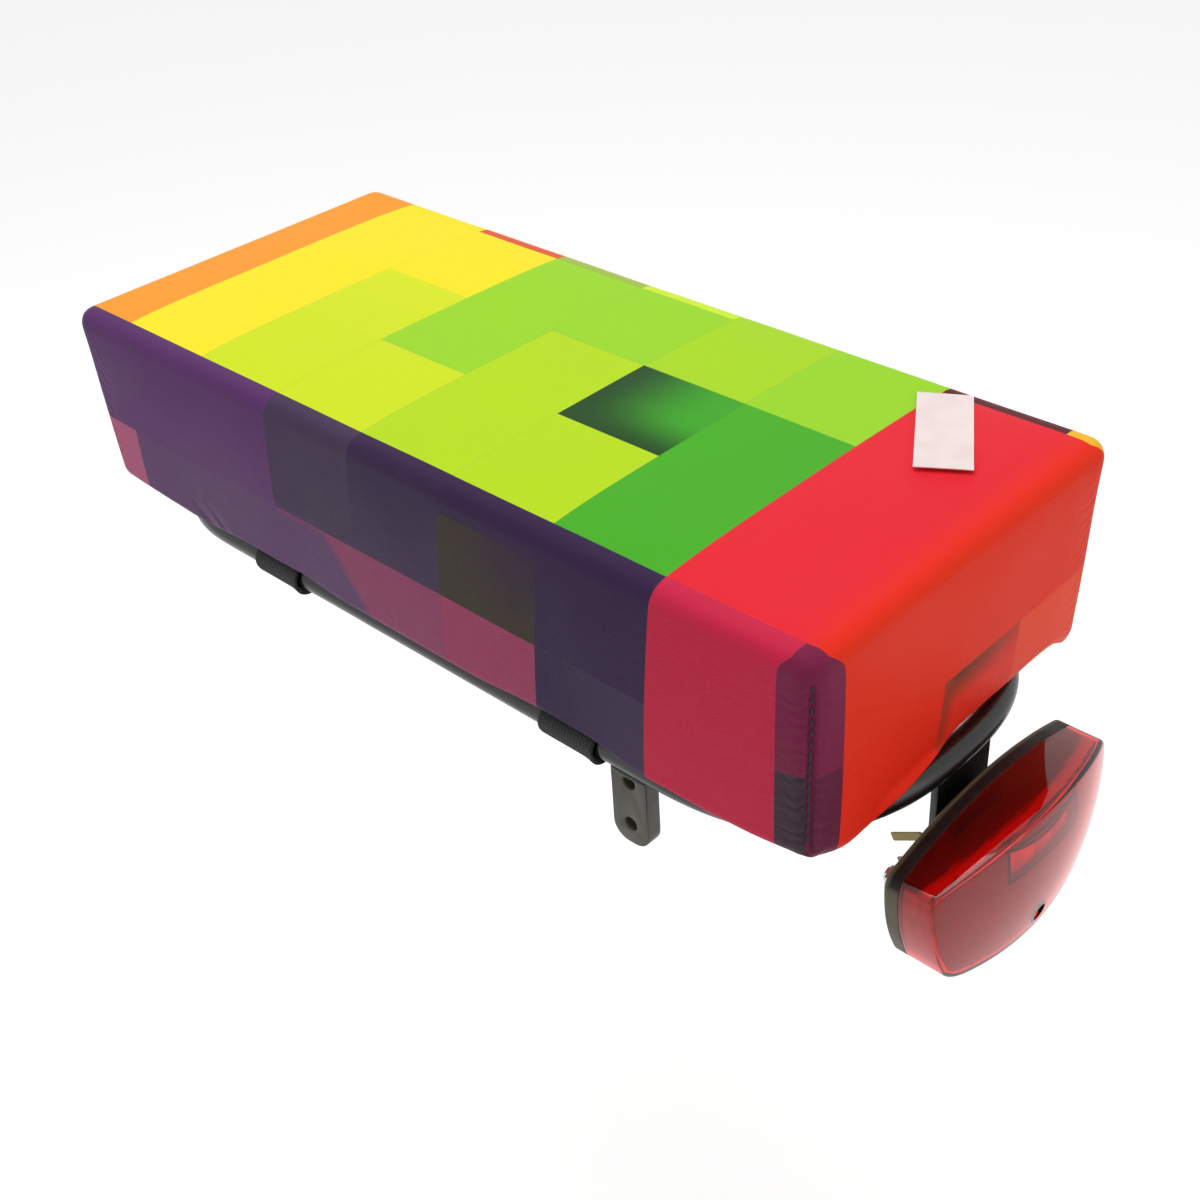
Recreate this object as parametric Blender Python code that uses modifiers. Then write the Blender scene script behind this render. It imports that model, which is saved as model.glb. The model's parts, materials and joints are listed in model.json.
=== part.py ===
import bpy
import bmesh
from math import acos, asin, atan2, cos, pi, radians, sin, sqrt, tan
from mathutils import Matrix, Vector

# Upholstered cushion strapped on a tubular bicycle rack, with the rack's tail light.
# Metres. +X points to the tail light, -X to the saddle, +Z is up. The origin is the
# middle of the cushion's base board, on its underside.

CLEARANCE = 0.0003            # between parts that touch

# Cushion
CUSHION_LENGTH = 0.360        # at the top
CUSHION_WIDTH = 0.156
CUSHION_HEIGHT = 0.076
SIDE_LEAN = 0.0032            # each side comes in by this much at the bottom
TOP_RADIUS = 0.008
BOTTOM_RADIUS = 0.006
COVER_THICKNESS = 0.001
HEM_WIDTH = 0.030             # cover turned in under the board
BOARD_THICKNESS = 0.006
CARD_LENGTH = 0.0506
CARD_WIDTH = 0.0184
CARD_THICKNESS = 0.0004
CARD_PLACE = (0.137, 0.045)
CARD_TURN = radians(-57)

# Rack
RACK_WIDTH = 0.135            # between the centres of the side tubes
TUBE_RADIUS = 0.005
STRAIGHT_END = 0.110          # the side tubes are straight from -X to +X of this
REAR_REACH = 0.067            # of the bend, past the straight
FRONT_REACH = 0.050
BEND_SQUARENESS = 2.6         # 2 is an ellipse
CROSS_BAR_RADIUS = 0.004
CROSS_BAR_OFFSET = 0.1013
TAB_PLACE = 0.1013
TAB_WIDTH = 0.0158
TAB_THICKNESS = 0.006
TAB_LENGTH = 0.0340           # below the tube's middle
TAB_CORNER = 0.0065
TAB_HOLE_RADIUS = 0.0026
TAB_HOLE_PITCH = 0.0178
TAB_HOLE_RISE = 0.0083        # lower hole above the tab's end

# Straps
STRAP_OFFSET = 0.0765         # from the middle, along the rack
STRAP_WIDTH = 0.025
STRAP_THICKNESS = 0.0016
PAD_THICKNESS = 0.0012
PAD_LENGTH = 0.026

# Tail light bracket
BRACKET_THICKNESS = 0.003
BRACKET_SETBACK = 0.0005      # behind the tube's rearmost line
NECK_WIDTH = 0.029
ARM_HEIGHT = 0.016
ARM_MARGIN = 0.008            # past the studs
ARM_CORNER = 0.005
NECK_CORNER = 0.004
STUD_SPACING = 0.050
STUD_DROP = 0.034             # below the light's crown
STUD_RADIUS = 0.0025
STUD_HEAD_RADIUS = 0.004
STUD_HEAD_THICKNESS = 0.002
NUT_ACROSS_FLATS = 0.008
NUT_THICKNESS = 0.004
WASHER_RADIUS = 0.005
WASHER_THICKNESS = 0.001
STUD_PROUD = 0.0015           # of its nut

# Tail light
LIGHT_DROP = 0.009            # crown below the cushion
LIGHT_WIDTH = 0.0996
LIGHT_HEIGHT = 0.051
LIGHT_CROWN = 0.008           # rise of the top edge
LIGHT_BASE_WIDTH = 0.080
LIGHT_BASE_SAG = 0.0035
LIGHT_SIDE_BULGE = 0.003
LIGHT_CORNER = 0.004
LIGHT_DEPTH = 0.0285
HOUSING_DEPTH = 0.0056
HOUSING_WALL = 0.002
BOSS_HEIGHT = 0.0042
BOSS_RADIUS = 0.005
LENS_WALL = 0.002
LENS_CURVE = 0.128            # radius of the domed front
DOME_DROP = 0.024             # its middle below the crown
PANEL_THICKNESS = 0.0018
WINDOW_WIDTH = 0.034
WINDOW_HEIGHT = 0.026
WINDOW_DROP = 0.0045          # below the crown
WINDOW_CROWN = 0.004
BOARD_WIDTH = 0.049
BOARD_HEIGHT = 0.0178
BOARD_PLACE = -0.0085
BOARD_DROP = 0.0065
CIRCUIT_THICKNESS = 0.0016
POST_HEIGHT = 0.0019
POST_RADIUS = 0.002
POST_SPACING = 0.026
LED_SIZE = 0.005
LED_THICKNESS = 0.0016
CAPACITOR_RADIUS = 0.004
CAPACITOR_LENGTH = 0.0115
TERMINAL_PLACE = -0.028
TERMINAL_DROP = 0.0078
TERMINAL_SPACING = 0.0105
TERMINAL_WIDTH = 0.0028
TERMINAL_THICKNESS = 0.0008
SIGNAL_LENGTH = 0.0115        # behind the light
GROUND_LENGTH = 0.008
TERMINAL_TILT = radians(31)
SCREW_DROP = 0.0435
SCREW_RADIUS = 0.0015
SCREW_HEAD_RADIUS = 0.0028
SCREW_HEAD_THICKNESS = 0.002
SCREW_LENGTH = 0.014
WELL_WALL = 0.0012
SEAT_THICKNESS = 0.002
SEAT_PLACE = 0.019            # of the screw's seat, in front of the light's back

# Places that follow from the sizes
underside = -(COVER_THICKNESS + CLEARANCE)
cushion_top = underside + CUSHION_HEIGHT
tube_height = underside - CLEARANCE - TUBE_RADIUS
half_track = RACK_WIDTH / 2
rack_rear = STRAIGHT_END + REAR_REACH
bracket_front = rack_rear + TUBE_RADIUS - BRACKET_SETBACK
bracket_back = bracket_front - BRACKET_THICKNESS
light_crown = underside - LIGHT_DROP
stud_height = light_crown - STUD_DROP
housing_back = bracket_front + CLEARANCE + BOSS_HEIGHT
housing_floor = housing_back + HOUSING_WALL
lens_back = housing_back + HOUSING_DEPTH + CLEARANCE
lens_front = housing_back + LIGHT_DEPTH
dome_centre = Vector((lens_front - LENS_CURVE, 0, light_crown - DOME_DROP))
screw_height = light_crown - SCREW_DROP
screw_seat = housing_back + SEAT_PLACE
circuit_back = housing_floor + POST_HEIGHT + CLEARANCE
circuit_front = circuit_back + CIRCUIT_THICKNESS
circuit_top = light_crown - BOARD_DROP
led_height = circuit_top - BOARD_HEIGHT / 2
led_front = circuit_front + CLEARANCE + LED_THICKNESS
past = 0.01                   # how far a cutter runs past what it cuts

# Local axes of a flat outline: drawn in Y and Z and thick along X, or in X and Z and thick along Y
facing_x = Matrix(((0, 0, 1, 0), (1, 0, 0, 0), (0, 1, 0, 0), (0, 0, 0, 1)))
facing_y = Matrix(((1, 0, 0, 0), (0, 0, -1, 0), (0, 1, 0, 0), (0, 0, 0, 1)))

for old in list(bpy.data.objects):
    bpy.data.objects.remove(old, do_unlink=True)

model = bpy.data.collections.new("rack_seat_cushion")
cutters = bpy.data.collections.new("cutters")
bpy.context.scene.collection.children.link(model)
bpy.context.scene.collection.children.link(cutters)


def material(name, colour, roughness, metallic=0.0):
    mat = bpy.data.materials.new(name)
    mat.use_nodes = True
    shader = mat.node_tree.nodes["Principled BSDF"]
    shader.inputs["Base Color"].default_value = (*colour, 1)
    shader.inputs["Roughness"].default_value = roughness
    shader.inputs["Metallic"].default_value = metallic
    return mat


printed_cloth = material("printed_cloth", (0.55, 0.78, 0.08), 0.45)
foam = material("foam", (0.85, 0.80, 0.62), 0.95)
plywood = material("plywood", (0.52, 0.36, 0.20), 0.75)
card = material("card", (0.93, 0.90, 0.91), 0.6)
webbing = material("webbing", (0.02, 0.02, 0.02), 0.85)
hook_tape = material("hook_tape", (0.03, 0.03, 0.03), 0.95)
zinc = material("zinc", (0.62, 0.63, 0.64), 0.35, 1.0)
black_paint = material("black_paint", (0.02, 0.02, 0.022), 0.25)
black_plastic = material("black_plastic", (0.02, 0.022, 0.02), 0.4)
red_lens = material("red_lens", (0.65, 0.02, 0.02), 0.08)
reflector = material("reflector", (0.55, 0.25, 0.24), 0.3)
optic = material("optic", (0.9, 0.15, 0.05), 0.1)
circuit = material("circuit", (0.03, 0.20, 0.08), 0.5)
diode = material("diode", (0.95, 0.85, 0.4), 0.3)
can = material("can", (0.05, 0.06, 0.12), 0.4)
brass = material("brass", (0.75, 0.58, 0.25), 0.3, 1.0)


def add(name, mesh, mat=None, place=None):
    item = bpy.data.objects.new(name, mesh)
    if place is not None:
        item.matrix_world = place
    if mat is None:
        cutters.objects.link(item)
        item.hide_render = True
        item.display_type = "WIRE"
    else:
        model.objects.link(item)
        mesh.materials.append(mat)
    return item


def box(name, low, high, mat=None):
    low = Vector(low)
    high = Vector(high)
    mesh = bpy.data.meshes.new(name)
    bm = bmesh.new()
    bmesh.ops.create_cube(bm, size=1)
    bmesh.ops.scale(bm, vec=high - low, verts=bm.verts)
    bm.to_mesh(mesh)
    bm.free()
    return add(name, mesh, mat, Matrix.Translation((low + high) / 2))


def rod(name, start, end, radius, mat=None, sides=24):
    start = Vector(start)
    run = Vector(end) - start
    mesh = bpy.data.meshes.new(name)
    bm = bmesh.new()
    bmesh.ops.create_cone(bm, cap_ends=True, segments=sides, radius1=radius, radius2=radius,
                          depth=run.length)
    bm.to_mesh(mesh)
    bm.free()
    mesh.shade_smooth()
    mesh.set_sharp_from_angle(angle=radians(35))
    turn = run.to_track_quat("Z", "Y").to_matrix().to_4x4()
    return add(name, mesh, mat, Matrix.Translation(start + run / 2) @ turn)


def ball(name, centre, radius):
    mesh = bpy.data.meshes.new(name)
    bm = bmesh.new()
    bmesh.ops.create_uvsphere(bm, u_segments=96, v_segments=64, radius=radius)
    bm.to_mesh(mesh)
    bm.free()
    return add(name, mesh, None, Matrix.Translation(centre))


# A curve becomes a mesh, with its loose caps welded, so that it can be cut
def as_mesh(item, mat=None):
    bpy.context.view_layer.update()
    graph = bpy.context.evaluated_depsgraph_get()
    mesh = bpy.data.meshes.new_from_object(item.evaluated_get(graph))
    bm = bmesh.new()
    bm.from_mesh(mesh)
    bmesh.ops.remove_doubles(bm, verts=bm.verts, dist=0.00001)
    bmesh.ops.recalc_face_normals(bm, faces=bm.faces)
    bm.to_mesh(mesh)
    bm.free()
    name = item.name
    place = item.matrix_world.copy()
    bpy.data.objects.remove(item, do_unlink=True)
    return add(name, mesh, mat, place)


def plate(name, outline, low, high, facing, mat=None, holes=()):
    curve = bpy.data.curves.new(name, "CURVE")
    curve.dimensions = "2D"
    curve.fill_mode = "BOTH"
    curve.extrude = (high - low) / 2
    for ring in (outline, *holes):
        spline = curve.splines.new("POLY")
        spline.points.add(len(ring) - 1)
        for point, (u, v) in zip(spline.points, ring):
            point.co = (u, v, 0, 1)
        spline.use_cyclic_u = True
    shift = facing.to_3x3() @ Vector((0, 0, (low + high) / 2))
    item = bpy.data.objects.new(name, curve)
    item.matrix_world = Matrix.Translation(shift) @ facing
    cutters.objects.link(item)
    return as_mesh(item, mat)


def change(item, other, operation):
    step = item.modifiers.new(other.name, "BOOLEAN")
    step.operation = operation
    step.solver = "EXACT"
    step.object = other


def circle(centre, radius, sides=20):
    turns = [2 * pi * k / sides for k in range(sides)]
    return [(centre[0] + radius * cos(a), centre[1] + radius * sin(a)) for a in turns]


# Points of a polygon with each corner rounded to its own radius
def rounded(corners, radii, steps=5):
    points = []
    count = len(corners)
    for k in range(count):
        here = Vector(corners[k])
        back = (Vector(corners[k - 1]) - here).normalized()
        ahead = (Vector(corners[(k + 1) % count]) - here).normalized()
        if radii[k] == 0:
            points.append(tuple(here))
            continue
        half = back.angle(ahead) / 2
        centre = here + (back + ahead).normalized() * radii[k] / sin(half)
        first = here + back * radii[k] / tan(half) - centre
        last = here + ahead * radii[k] / tan(half) - centre
        start = atan2(first.y, first.x)
        sweep = (atan2(last.y, last.x) - start + pi) % (2 * pi) - pi
        for s in range(steps + 1):
            a = start + sweep * s / steps
            points.append((centre.x + radii[k] * cos(a), centre.y + radii[k] * sin(a)))
    return points


# Points of a circular arc from start to end that swells by rise to the right of its chord
def arc(start, end, rise, steps):
    start = Vector(start)
    chord = Vector(end) - start
    half = chord.length / 2
    radius = (half * half + rise * rise) / (2 * rise)
    right = Vector((chord.y, -chord.x)).normalized()
    centre = start + chord / 2 + right * (rise - radius)
    reach = asin(half / radius)
    along = chord.normalized()
    turns = [reach * (2 * s / steps - 1) for s in range(steps + 1)]
    return [centre + right * radius * cos(a) + along * radius * sin(a) for a in turns]


# Outline of the tail light seen from behind, in Y and Z, drawn in by inset
def light_outline(inset=0.0):
    shoulder = (LIGHT_WIDTH / 2, light_crown - LIGHT_CROWN)
    foot = (LIGHT_BASE_WIDTH / 2, light_crown - LIGHT_HEIGHT + LIGHT_BASE_SAG)
    corners = [(-foot[0], foot[1]), foot, shoulder, (-shoulder[0], shoulder[1])]
    swells = [(LIGHT_BASE_SAG, 8), (LIGHT_SIDE_BULGE, 8), (LIGHT_CROWN, 16), (LIGHT_SIDE_BULGE, 8)]
    edges = []
    for k, (rise, steps) in enumerate(swells):
        run = arc(corners[k], corners[(k + 1) % 4], rise, steps * 3)
        ends = (run[0], run[-1])
        inner = [p for p in run if min((p - ends[0]).length, (p - ends[1]).length) > LIGHT_CORNER]
        edges.append([inner[0]] + inner[2:-2:3] + [inner[-1]])
    ring = []
    for k, edge in enumerate(edges):
        ring.extend(edge)
        corner = Vector(corners[(k + 1) % 4])
        last = edge[-1]
        first = edges[(k + 1) % 4][0]
        for t in (0.25, 0.5, 0.75):
            ring.append(last * (1 - t) ** 2 + corner * 2 * t * (1 - t) + first * t * t)
    drawn = []
    for k, point in enumerate(ring):
        along = (ring[(k + 1) % len(ring)] - ring[k - 1]).normalized()
        drawn.append(tuple(point + Vector((-along.y, along.x)) * inset))
    return drawn


# A band of even thickness along a path
def band(path, thickness):
    sides = ([], [])
    points = [Vector(point) for point in path]
    runs = [(points[k + 1] - points[k]).normalized() for k in range(len(points) - 1)]
    for k, point in enumerate(points):
        before = runs[max(k - 1, 0)]
        after = runs[min(k, len(runs) - 1)]
        along = (before + after).normalized()
        across = Vector((-along.y, along.x)) * thickness / 2 / along.dot(after)
        sides[0].append(tuple(point + across))
        sides[1].append(tuple(point - across))
    return sides[0] + sides[1][::-1]


# The cushion's outer form, drawn in by inset on every side
def cushion_form(name, inset, mat=None):
    mesh = bpy.data.meshes.new(name)
    bm = bmesh.new()
    bmesh.ops.create_cube(bm, size=2)
    for vert in bm.verts:
        lean = SIDE_LEAN if vert.co.z < 0 else 0
        vert.co.x *= CUSHION_LENGTH / 2 - inset - lean
        vert.co.y *= CUSHION_WIDTH / 2 - inset - lean
        vert.co.z = cushion_top - inset if vert.co.z > 0 else underside + inset
    bm.to_mesh(mesh)
    bm.free()
    widest = max(TOP_RADIUS, BOTTOM_RADIUS) - inset
    weight = mesh.attributes.new("bevel_weight_edge", "FLOAT", "EDGE")
    for edge in mesh.edges:
        low = all(mesh.vertices[v].co.z < cushion_top / 2 for v in edge.vertices)
        weight.data[edge.index].value = ((BOTTOM_RADIUS if low else TOP_RADIUS) - inset) / widest
    item = add(name, mesh, mat)
    edge_round = item.modifiers.new("edges", "BEVEL")
    edge_round.limit_method = "WEIGHT"
    edge_round.width = widest
    edge_round.segments = 4
    edge_round.use_clamp_overlap = False
    mesh.shade_smooth()
    return item


def build_cushion():
    cover = cushion_form("cushion_cover", 0, printed_cloth)
    change(cover, cushion_form("cover_inside", COVER_THICKNESS), "DIFFERENCE")
    open_x = CUSHION_LENGTH / 2 - SIDE_LEAN - HEM_WIDTH
    open_y = CUSHION_WIDTH / 2 - SIDE_LEAN - HEM_WIDTH
    opening = box("hem_opening", (-open_x, -open_y, -past), (open_x, open_y, past / 2))
    change(cover, opening, "DIFFERENCE")
    core = cushion_form("foam_core", COVER_THICKNESS + CLEARANCE, foam)
    above = box("above_board", (-CUSHION_LENGTH, -CUSHION_WIDTH, BOARD_THICKNESS + CLEARANCE),
                (CUSHION_LENGTH, CUSHION_WIDTH, CUSHION_HEIGHT + past))
    change(core, above, "INTERSECT")
    board = cushion_form("base_board", COVER_THICKNESS + CLEARANCE, plywood)
    below = box("below_foam", (-CUSHION_LENGTH, -CUSHION_WIDTH, -past),
                (CUSHION_LENGTH, CUSHION_WIDTH, BOARD_THICKNESS))
    change(board, below, "INTERSECT")
    tag = box("blank_card", (-CARD_LENGTH / 2, -CARD_WIDTH / 2, cushion_top + CLEARANCE),
              (CARD_LENGTH / 2, CARD_WIDTH / 2, cushion_top + CLEARANCE + CARD_THICKNESS), card)
    turn = Matrix.Rotation(CARD_TURN, 4, "Z")
    tag.matrix_world = Matrix.Translation((*CARD_PLACE, 0)) @ turn @ tag.matrix_world


# One end of the rack's tube loop, from its -Y side tube to its +Y one
def loop_end(start, reach, steps=18):
    points = []
    for k in range(steps + 1):
        a = pi * (k / steps - 0.5)
        x = start + reach * max(cos(a), 0) ** (2 / BEND_SQUARENESS)
        y = half_track * abs(sin(a)) ** (2 / BEND_SQUARENESS)
        points.append((x, y if a > 0 else -y, tube_height))
    return points


def tube_loop(name, radius):
    path = loop_end(STRAIGHT_END, REAR_REACH)
    path += loop_end(-STRAIGHT_END, -FRONT_REACH)[::-1]
    curve = bpy.data.curves.new(name, "CURVE")
    curve.dimensions = "3D"
    curve.bevel_depth = radius
    curve.bevel_resolution = 4
    spline = curve.splines.new("POLY")
    spline.points.add(len(path) - 1)
    for point, place in zip(spline.points, path):
        point.co = (*place, 1)
    spline.use_cyclic_u = True
    spline.use_smooth = True
    item = bpy.data.objects.new(name, curve)
    cutters.objects.link(item)
    return item


def build_rack():
    as_mesh(tube_loop("rack_loop", TUBE_RADIUS), black_paint)
    cope = as_mesh(tube_loop("tube_cope", TUBE_RADIUS + CLEARANCE))
    bars = {"cross_bar_front": -CROSS_BAR_OFFSET, "cross_bar_middle": 0, "cross_bar_rear": CROSS_BAR_OFFSET}
    for name, x in bars.items():
        bar = rod(name, (x, -half_track, tube_height), (x, half_track, tube_height),
                  CROSS_BAR_RADIUS, black_paint)
        change(bar, cope, "DIFFERENCE")
    low = tube_height - TAB_LENGTH
    left = TAB_PLACE - TAB_WIDTH / 2
    right = TAB_PLACE + TAB_WIDTH / 2
    corners = [(left, low), (right, low), (right, tube_height), (left, tube_height)]
    outline = rounded(corners, [TAB_CORNER, TAB_CORNER, 0, 0])
    heights = (low + TAB_HOLE_RISE, low + TAB_HOLE_RISE + TAB_HOLE_PITCH)
    holes = [circle((TAB_PLACE, height), TAB_HOLE_RADIUS) for height in heights]
    for name, side in (("stay_tab_left", 1), ("stay_tab_right", -1)):
        middle = side * half_track
        tab = plate(name, outline, middle - TAB_THICKNESS / 2, middle + TAB_THICKNESS / 2,
                    facing_y, black_paint, holes)
        change(tab, cope, "DIFFERENCE")
    build_bracket(cope)


# Plate under the rear tube: a neck, then arms out to the light's two studs
def build_bracket(cope):
    neck = NECK_WIDTH / 2
    arm = STUD_SPACING / 2 + ARM_MARGIN
    top = stud_height + ARM_HEIGHT / 2
    low = stud_height - ARM_HEIGHT / 2
    corners = [(-neck, tube_height), (-neck, top), (-arm, top), (-arm, low),
               (arm, low), (arm, top), (neck, top), (neck, tube_height)]
    outline = rounded(corners, [0, NECK_CORNER] + [ARM_CORNER] * 4 + [NECK_CORNER, 0])
    bores = [circle((side * STUD_SPACING / 2, stud_height), STUD_RADIUS + CLEARANCE) for side in (-1, 1)]
    bracket = plate("light_bracket", outline, bracket_back, bracket_front, facing_x, black_paint, bores)
    change(bracket, cope, "DIFFERENCE")


# Path of a strap in Y and Z: from under the hem, round the outside of the tube and
# up its inner side, then flat under the pad that it is closed on
def strap_path():
    around = TUBE_RADIUS + CLEARANCE + STRAP_THICKNESS / 2
    outer = around + STRAP_THICKNESS / 2
    start = acos((underside - CLEARANCE - tube_height) / outer)
    turns = [start + (1.5 * pi - start) * k / 16 for k in range(17)]
    path = [(half_track + around * sin(a), tube_height + around * cos(a)) for a in turns]
    level = underside - PAD_THICKNESS - 2 * CLEARANCE - STRAP_THICKNESS / 2
    bend = level - tube_height
    middle = half_track - around - bend
    for k in range(1, 6):
        a = 0.5 * pi * k / 5
        path.append((middle + bend * cos(a), tube_height + bend * sin(a)))
    path.append((middle - PAD_LENGTH, level))
    return path, middle


def build_straps():
    path, bend_end = strap_path()
    outline = band(path, STRAP_THICKNESS)
    rows = {"front": -STRAP_OFFSET, "rear": STRAP_OFFSET}
    for row, x in rows.items():
        for side_name, side in (("left", -1), ("right", 1)):
            ring = [(side * y, z) for y, z in outline]
            plate("strap_" + row + "_" + side_name, ring, x - STRAP_WIDTH / 2, x + STRAP_WIDTH / 2,
                  facing_x, webbing)
            ends = sorted((side * bend_end, side * (bend_end - PAD_LENGTH)))
            high = underside - CLEARANCE
            box("strap_pad_" + row + "_" + side_name, (x - STRAP_WIDTH / 2, ends[0], high - PAD_THICKNESS),
                (x + STRAP_WIDTH / 2, ends[1], high), hook_tape)


def build_studs():
    head_back = housing_floor + CLEARANCE
    washer_front = bracket_back - CLEARANCE
    nut_front = washer_front - WASHER_THICKNESS - CLEARANCE
    nut_back = nut_front - NUT_THICKNESS
    hole = STUD_RADIUS + CLEARANCE
    for name, side in (("left", -1), ("right", 1)):
        y = side * STUD_SPACING / 2
        stud = rod("light_stud_" + name, (nut_back - STUD_PROUD, y, stud_height),
                   (head_back + STUD_HEAD_THICKNESS / 2, y, stud_height), STUD_RADIUS, zinc)
        head = rod("stud_head_" + name, (head_back, y, stud_height),
                   (head_back + STUD_HEAD_THICKNESS, y, stud_height), STUD_HEAD_RADIUS)
        change(stud, head, "UNION")
        bore = rod("nut_bore_" + name, (nut_back - past, y, stud_height),
                   (bracket_back, y, stud_height), hole)
        washer = rod("stud_washer_" + name, (washer_front - WASHER_THICKNESS, y, stud_height),
                     (washer_front, y, stud_height), WASHER_RADIUS, zinc)
        change(washer, bore, "DIFFERENCE")
        nut = rod("stud_nut_" + name, (nut_back, y, stud_height), (nut_front, y, stud_height),
                  NUT_ACROSS_FLATS / 2 / cos(pi / 6), zinc, sides=6)
        change(nut, bore, "DIFFERENCE")


def build_housing():
    housing = plate("light_housing", light_outline(), housing_back, housing_back + HOUSING_DEPTH,
                    facing_x, black_plastic)
    change(housing, plate("tray", light_outline(HOUSING_WALL), housing_floor, lens_back + past,
                          facing_x), "DIFFERENCE")
    root = housing_back + HOUSING_WALL / 2
    for name, side in (("left", -1), ("right", 1)):
        y = side * STUD_SPACING / 2
        boss = rod("boss_" + name, (housing_back - BOSS_HEIGHT, y, stud_height),
                   (root, y, stud_height), BOSS_RADIUS)
        change(housing, boss, "UNION")
        bore = rod("stud_bore_" + name, (bracket_front, y, stud_height),
                   (housing_floor + past, y, stud_height), STUD_RADIUS + CLEARANCE)
        change(housing, bore, "DIFFERENCE")
    for name, side in (("left", -1), ("right", 1)):
        y = BOARD_PLACE + side * POST_SPACING / 2
        post = rod("post_" + name, (root, y, led_height),
                   (housing_floor + POST_HEIGHT, y, led_height), POST_RADIUS)
        change(housing, post, "UNION")
    bore_radius = SCREW_RADIUS + CLEARANCE
    boss_front = screw_seat - CLEARANCE
    boss = rod("screw_boss", (root, 0, screw_height), (boss_front, 0, screw_height),
               bore_radius + WELL_WALL)
    change(housing, boss, "UNION")
    change(housing, rod("screw_bore", (housing_floor, 0, screw_height), (boss_front + past, 0, screw_height),
                        bore_radius), "DIFFERENCE")
    gap = Vector((0, TERMINAL_THICKNESS / 2 + CLEARANCE, TERMINAL_WIDTH / 2 + CLEARANCE))
    for k in range(2):
        middle = Vector((0, TERMINAL_PLACE, light_crown - TERMINAL_DROP - k * TERMINAL_SPACING))
        slot = box("slot_" + str(k), middle - gap + Vector((housing_back - past, 0, 0)),
                   middle + gap + Vector((housing_floor + CLEARANCE, 0, 0)))
        change(housing, slot, "DIFFERENCE")


# What the lens holds is cut from a solid inside its outline and under its domed front
def domed(name, inset, back, depth_in, mat=None):
    solid = plate(name, light_outline(inset), back, lens_front + past, facing_x, mat)
    change(solid, ball(name + "_dome", dome_centre, LENS_CURVE - depth_in), "INTERSECT")
    return solid


def build_lens():
    lens = domed("light_lens", 0, lens_back, 0, red_lens)
    change(lens, domed("lens_inside", LENS_WALL, lens_back - past, LENS_WALL), "DIFFERENCE")
    offset = dome_centre.z - screw_height
    wall_middle = dome_centre.x + sqrt(LENS_CURVE ** 2 - offset ** 2) - LENS_WALL / 2
    well_radius = SCREW_HEAD_RADIUS + CLEARANCE
    well = rod("screw_well", (screw_seat, 0, screw_height), (wall_middle, 0, screw_height),
               well_radius + WELL_WALL)
    change(lens, well, "UNION")
    change(lens, rod("well_bore", (screw_seat + SEAT_THICKNESS, 0, screw_height),
                     (lens_front + past, 0, screw_height), well_radius), "DIFFERENCE")
    change(lens, rod("seat_bore", (screw_seat - past, 0, screw_height),
                     (screw_seat + SEAT_THICKNESS + past, 0, screw_height),
                     SCREW_RADIUS + CLEARANCE), "DIFFERENCE")
    head_back = screw_seat + SEAT_THICKNESS + CLEARANCE
    screw = rod("lens_screw", (head_back - SCREW_LENGTH, 0, screw_height),
                (head_back + SCREW_HEAD_THICKNESS / 2, 0, screw_height), SCREW_RADIUS, zinc)
    change(screw, rod("screw_head", (head_back, 0, screw_height),
                      (head_back + SCREW_HEAD_THICKNESS, 0, screw_height), SCREW_HEAD_RADIUS), "UNION")


# Arched opening in the reflector panel that the LED shines through
def window(inset):
    half = WINDOW_WIDTH / 2 - inset
    top = light_crown - WINDOW_DROP - WINDOW_CROWN - inset
    low = light_crown - WINDOW_DROP - WINDOW_HEIGHT + inset
    arch = arc((half, top), (-half, top), WINDOW_CROWN, 8)
    return [(-half, low), (half, low)] + [tuple(point) for point in arch]


def build_inside():
    under_lens = LENS_WALL + CLEARANCE
    panel = domed("reflector_panel", under_lens, lens_back, under_lens, reflector)
    change(panel, domed("panel_back", 0, lens_back - past, under_lens + PANEL_THICKNESS), "DIFFERENCE")
    change(panel, plate("panel_window", window(0), lens_back, lens_front, facing_x), "DIFFERENCE")
    well_hole = SCREW_HEAD_RADIUS + WELL_WALL + 2 * CLEARANCE
    change(panel, rod("well_hole", (lens_back, 0, screw_height), (lens_front, 0, screw_height),
                      well_hole), "DIFFERENCE")
    block = plate("led_optic", window(CLEARANCE), led_front + CLEARANCE, lens_front + past,
                  facing_x, optic)
    change(block, ball("optic_dome", dome_centre, LENS_CURVE - under_lens), "INTERSECT")
    half = BOARD_WIDTH / 2
    box("circuit_board", (circuit_back, BOARD_PLACE - half, circuit_top - BOARD_HEIGHT),
        (circuit_front, BOARD_PLACE + half, circuit_top), circuit)
    box("led", (circuit_front + CLEARANCE, -LED_SIZE / 2, led_height - LED_SIZE / 2),
        (led_front, LED_SIZE / 2, led_height + LED_SIZE / 2), diode)
    can_x = circuit_front + CLEARANCE + CAPACITOR_RADIUS
    can_end = -WINDOW_WIDTH / 2 - CAPACITOR_RADIUS / 2
    rod("capacitor", (can_x, can_end - CAPACITOR_LENGTH, led_height), (can_x, can_end, led_height),
        CAPACITOR_RADIUS, can)
    low_y = TERMINAL_PLACE - TERMINAL_THICKNESS / 2
    high_y = TERMINAL_PLACE + TERMINAL_THICKNESS / 2
    root = housing_back - TERMINAL_WIDTH / 2 - CLEARANCE
    for k, (name, length) in enumerate((("signal", SIGNAL_LENGTH), ("ground", GROUND_LENGTH))):
        z = light_crown - TERMINAL_DROP - k * TERMINAL_SPACING
        tip = (root - length * cos(TERMINAL_TILT), z - length * sin(TERMINAL_TILT))
        blade = band([tip, (root, z), (circuit_back - CLEARANCE, z)], TERMINAL_WIDTH)
        plate("terminal_" + name, blade, -high_y, -low_y, facing_y, brass)


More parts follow.
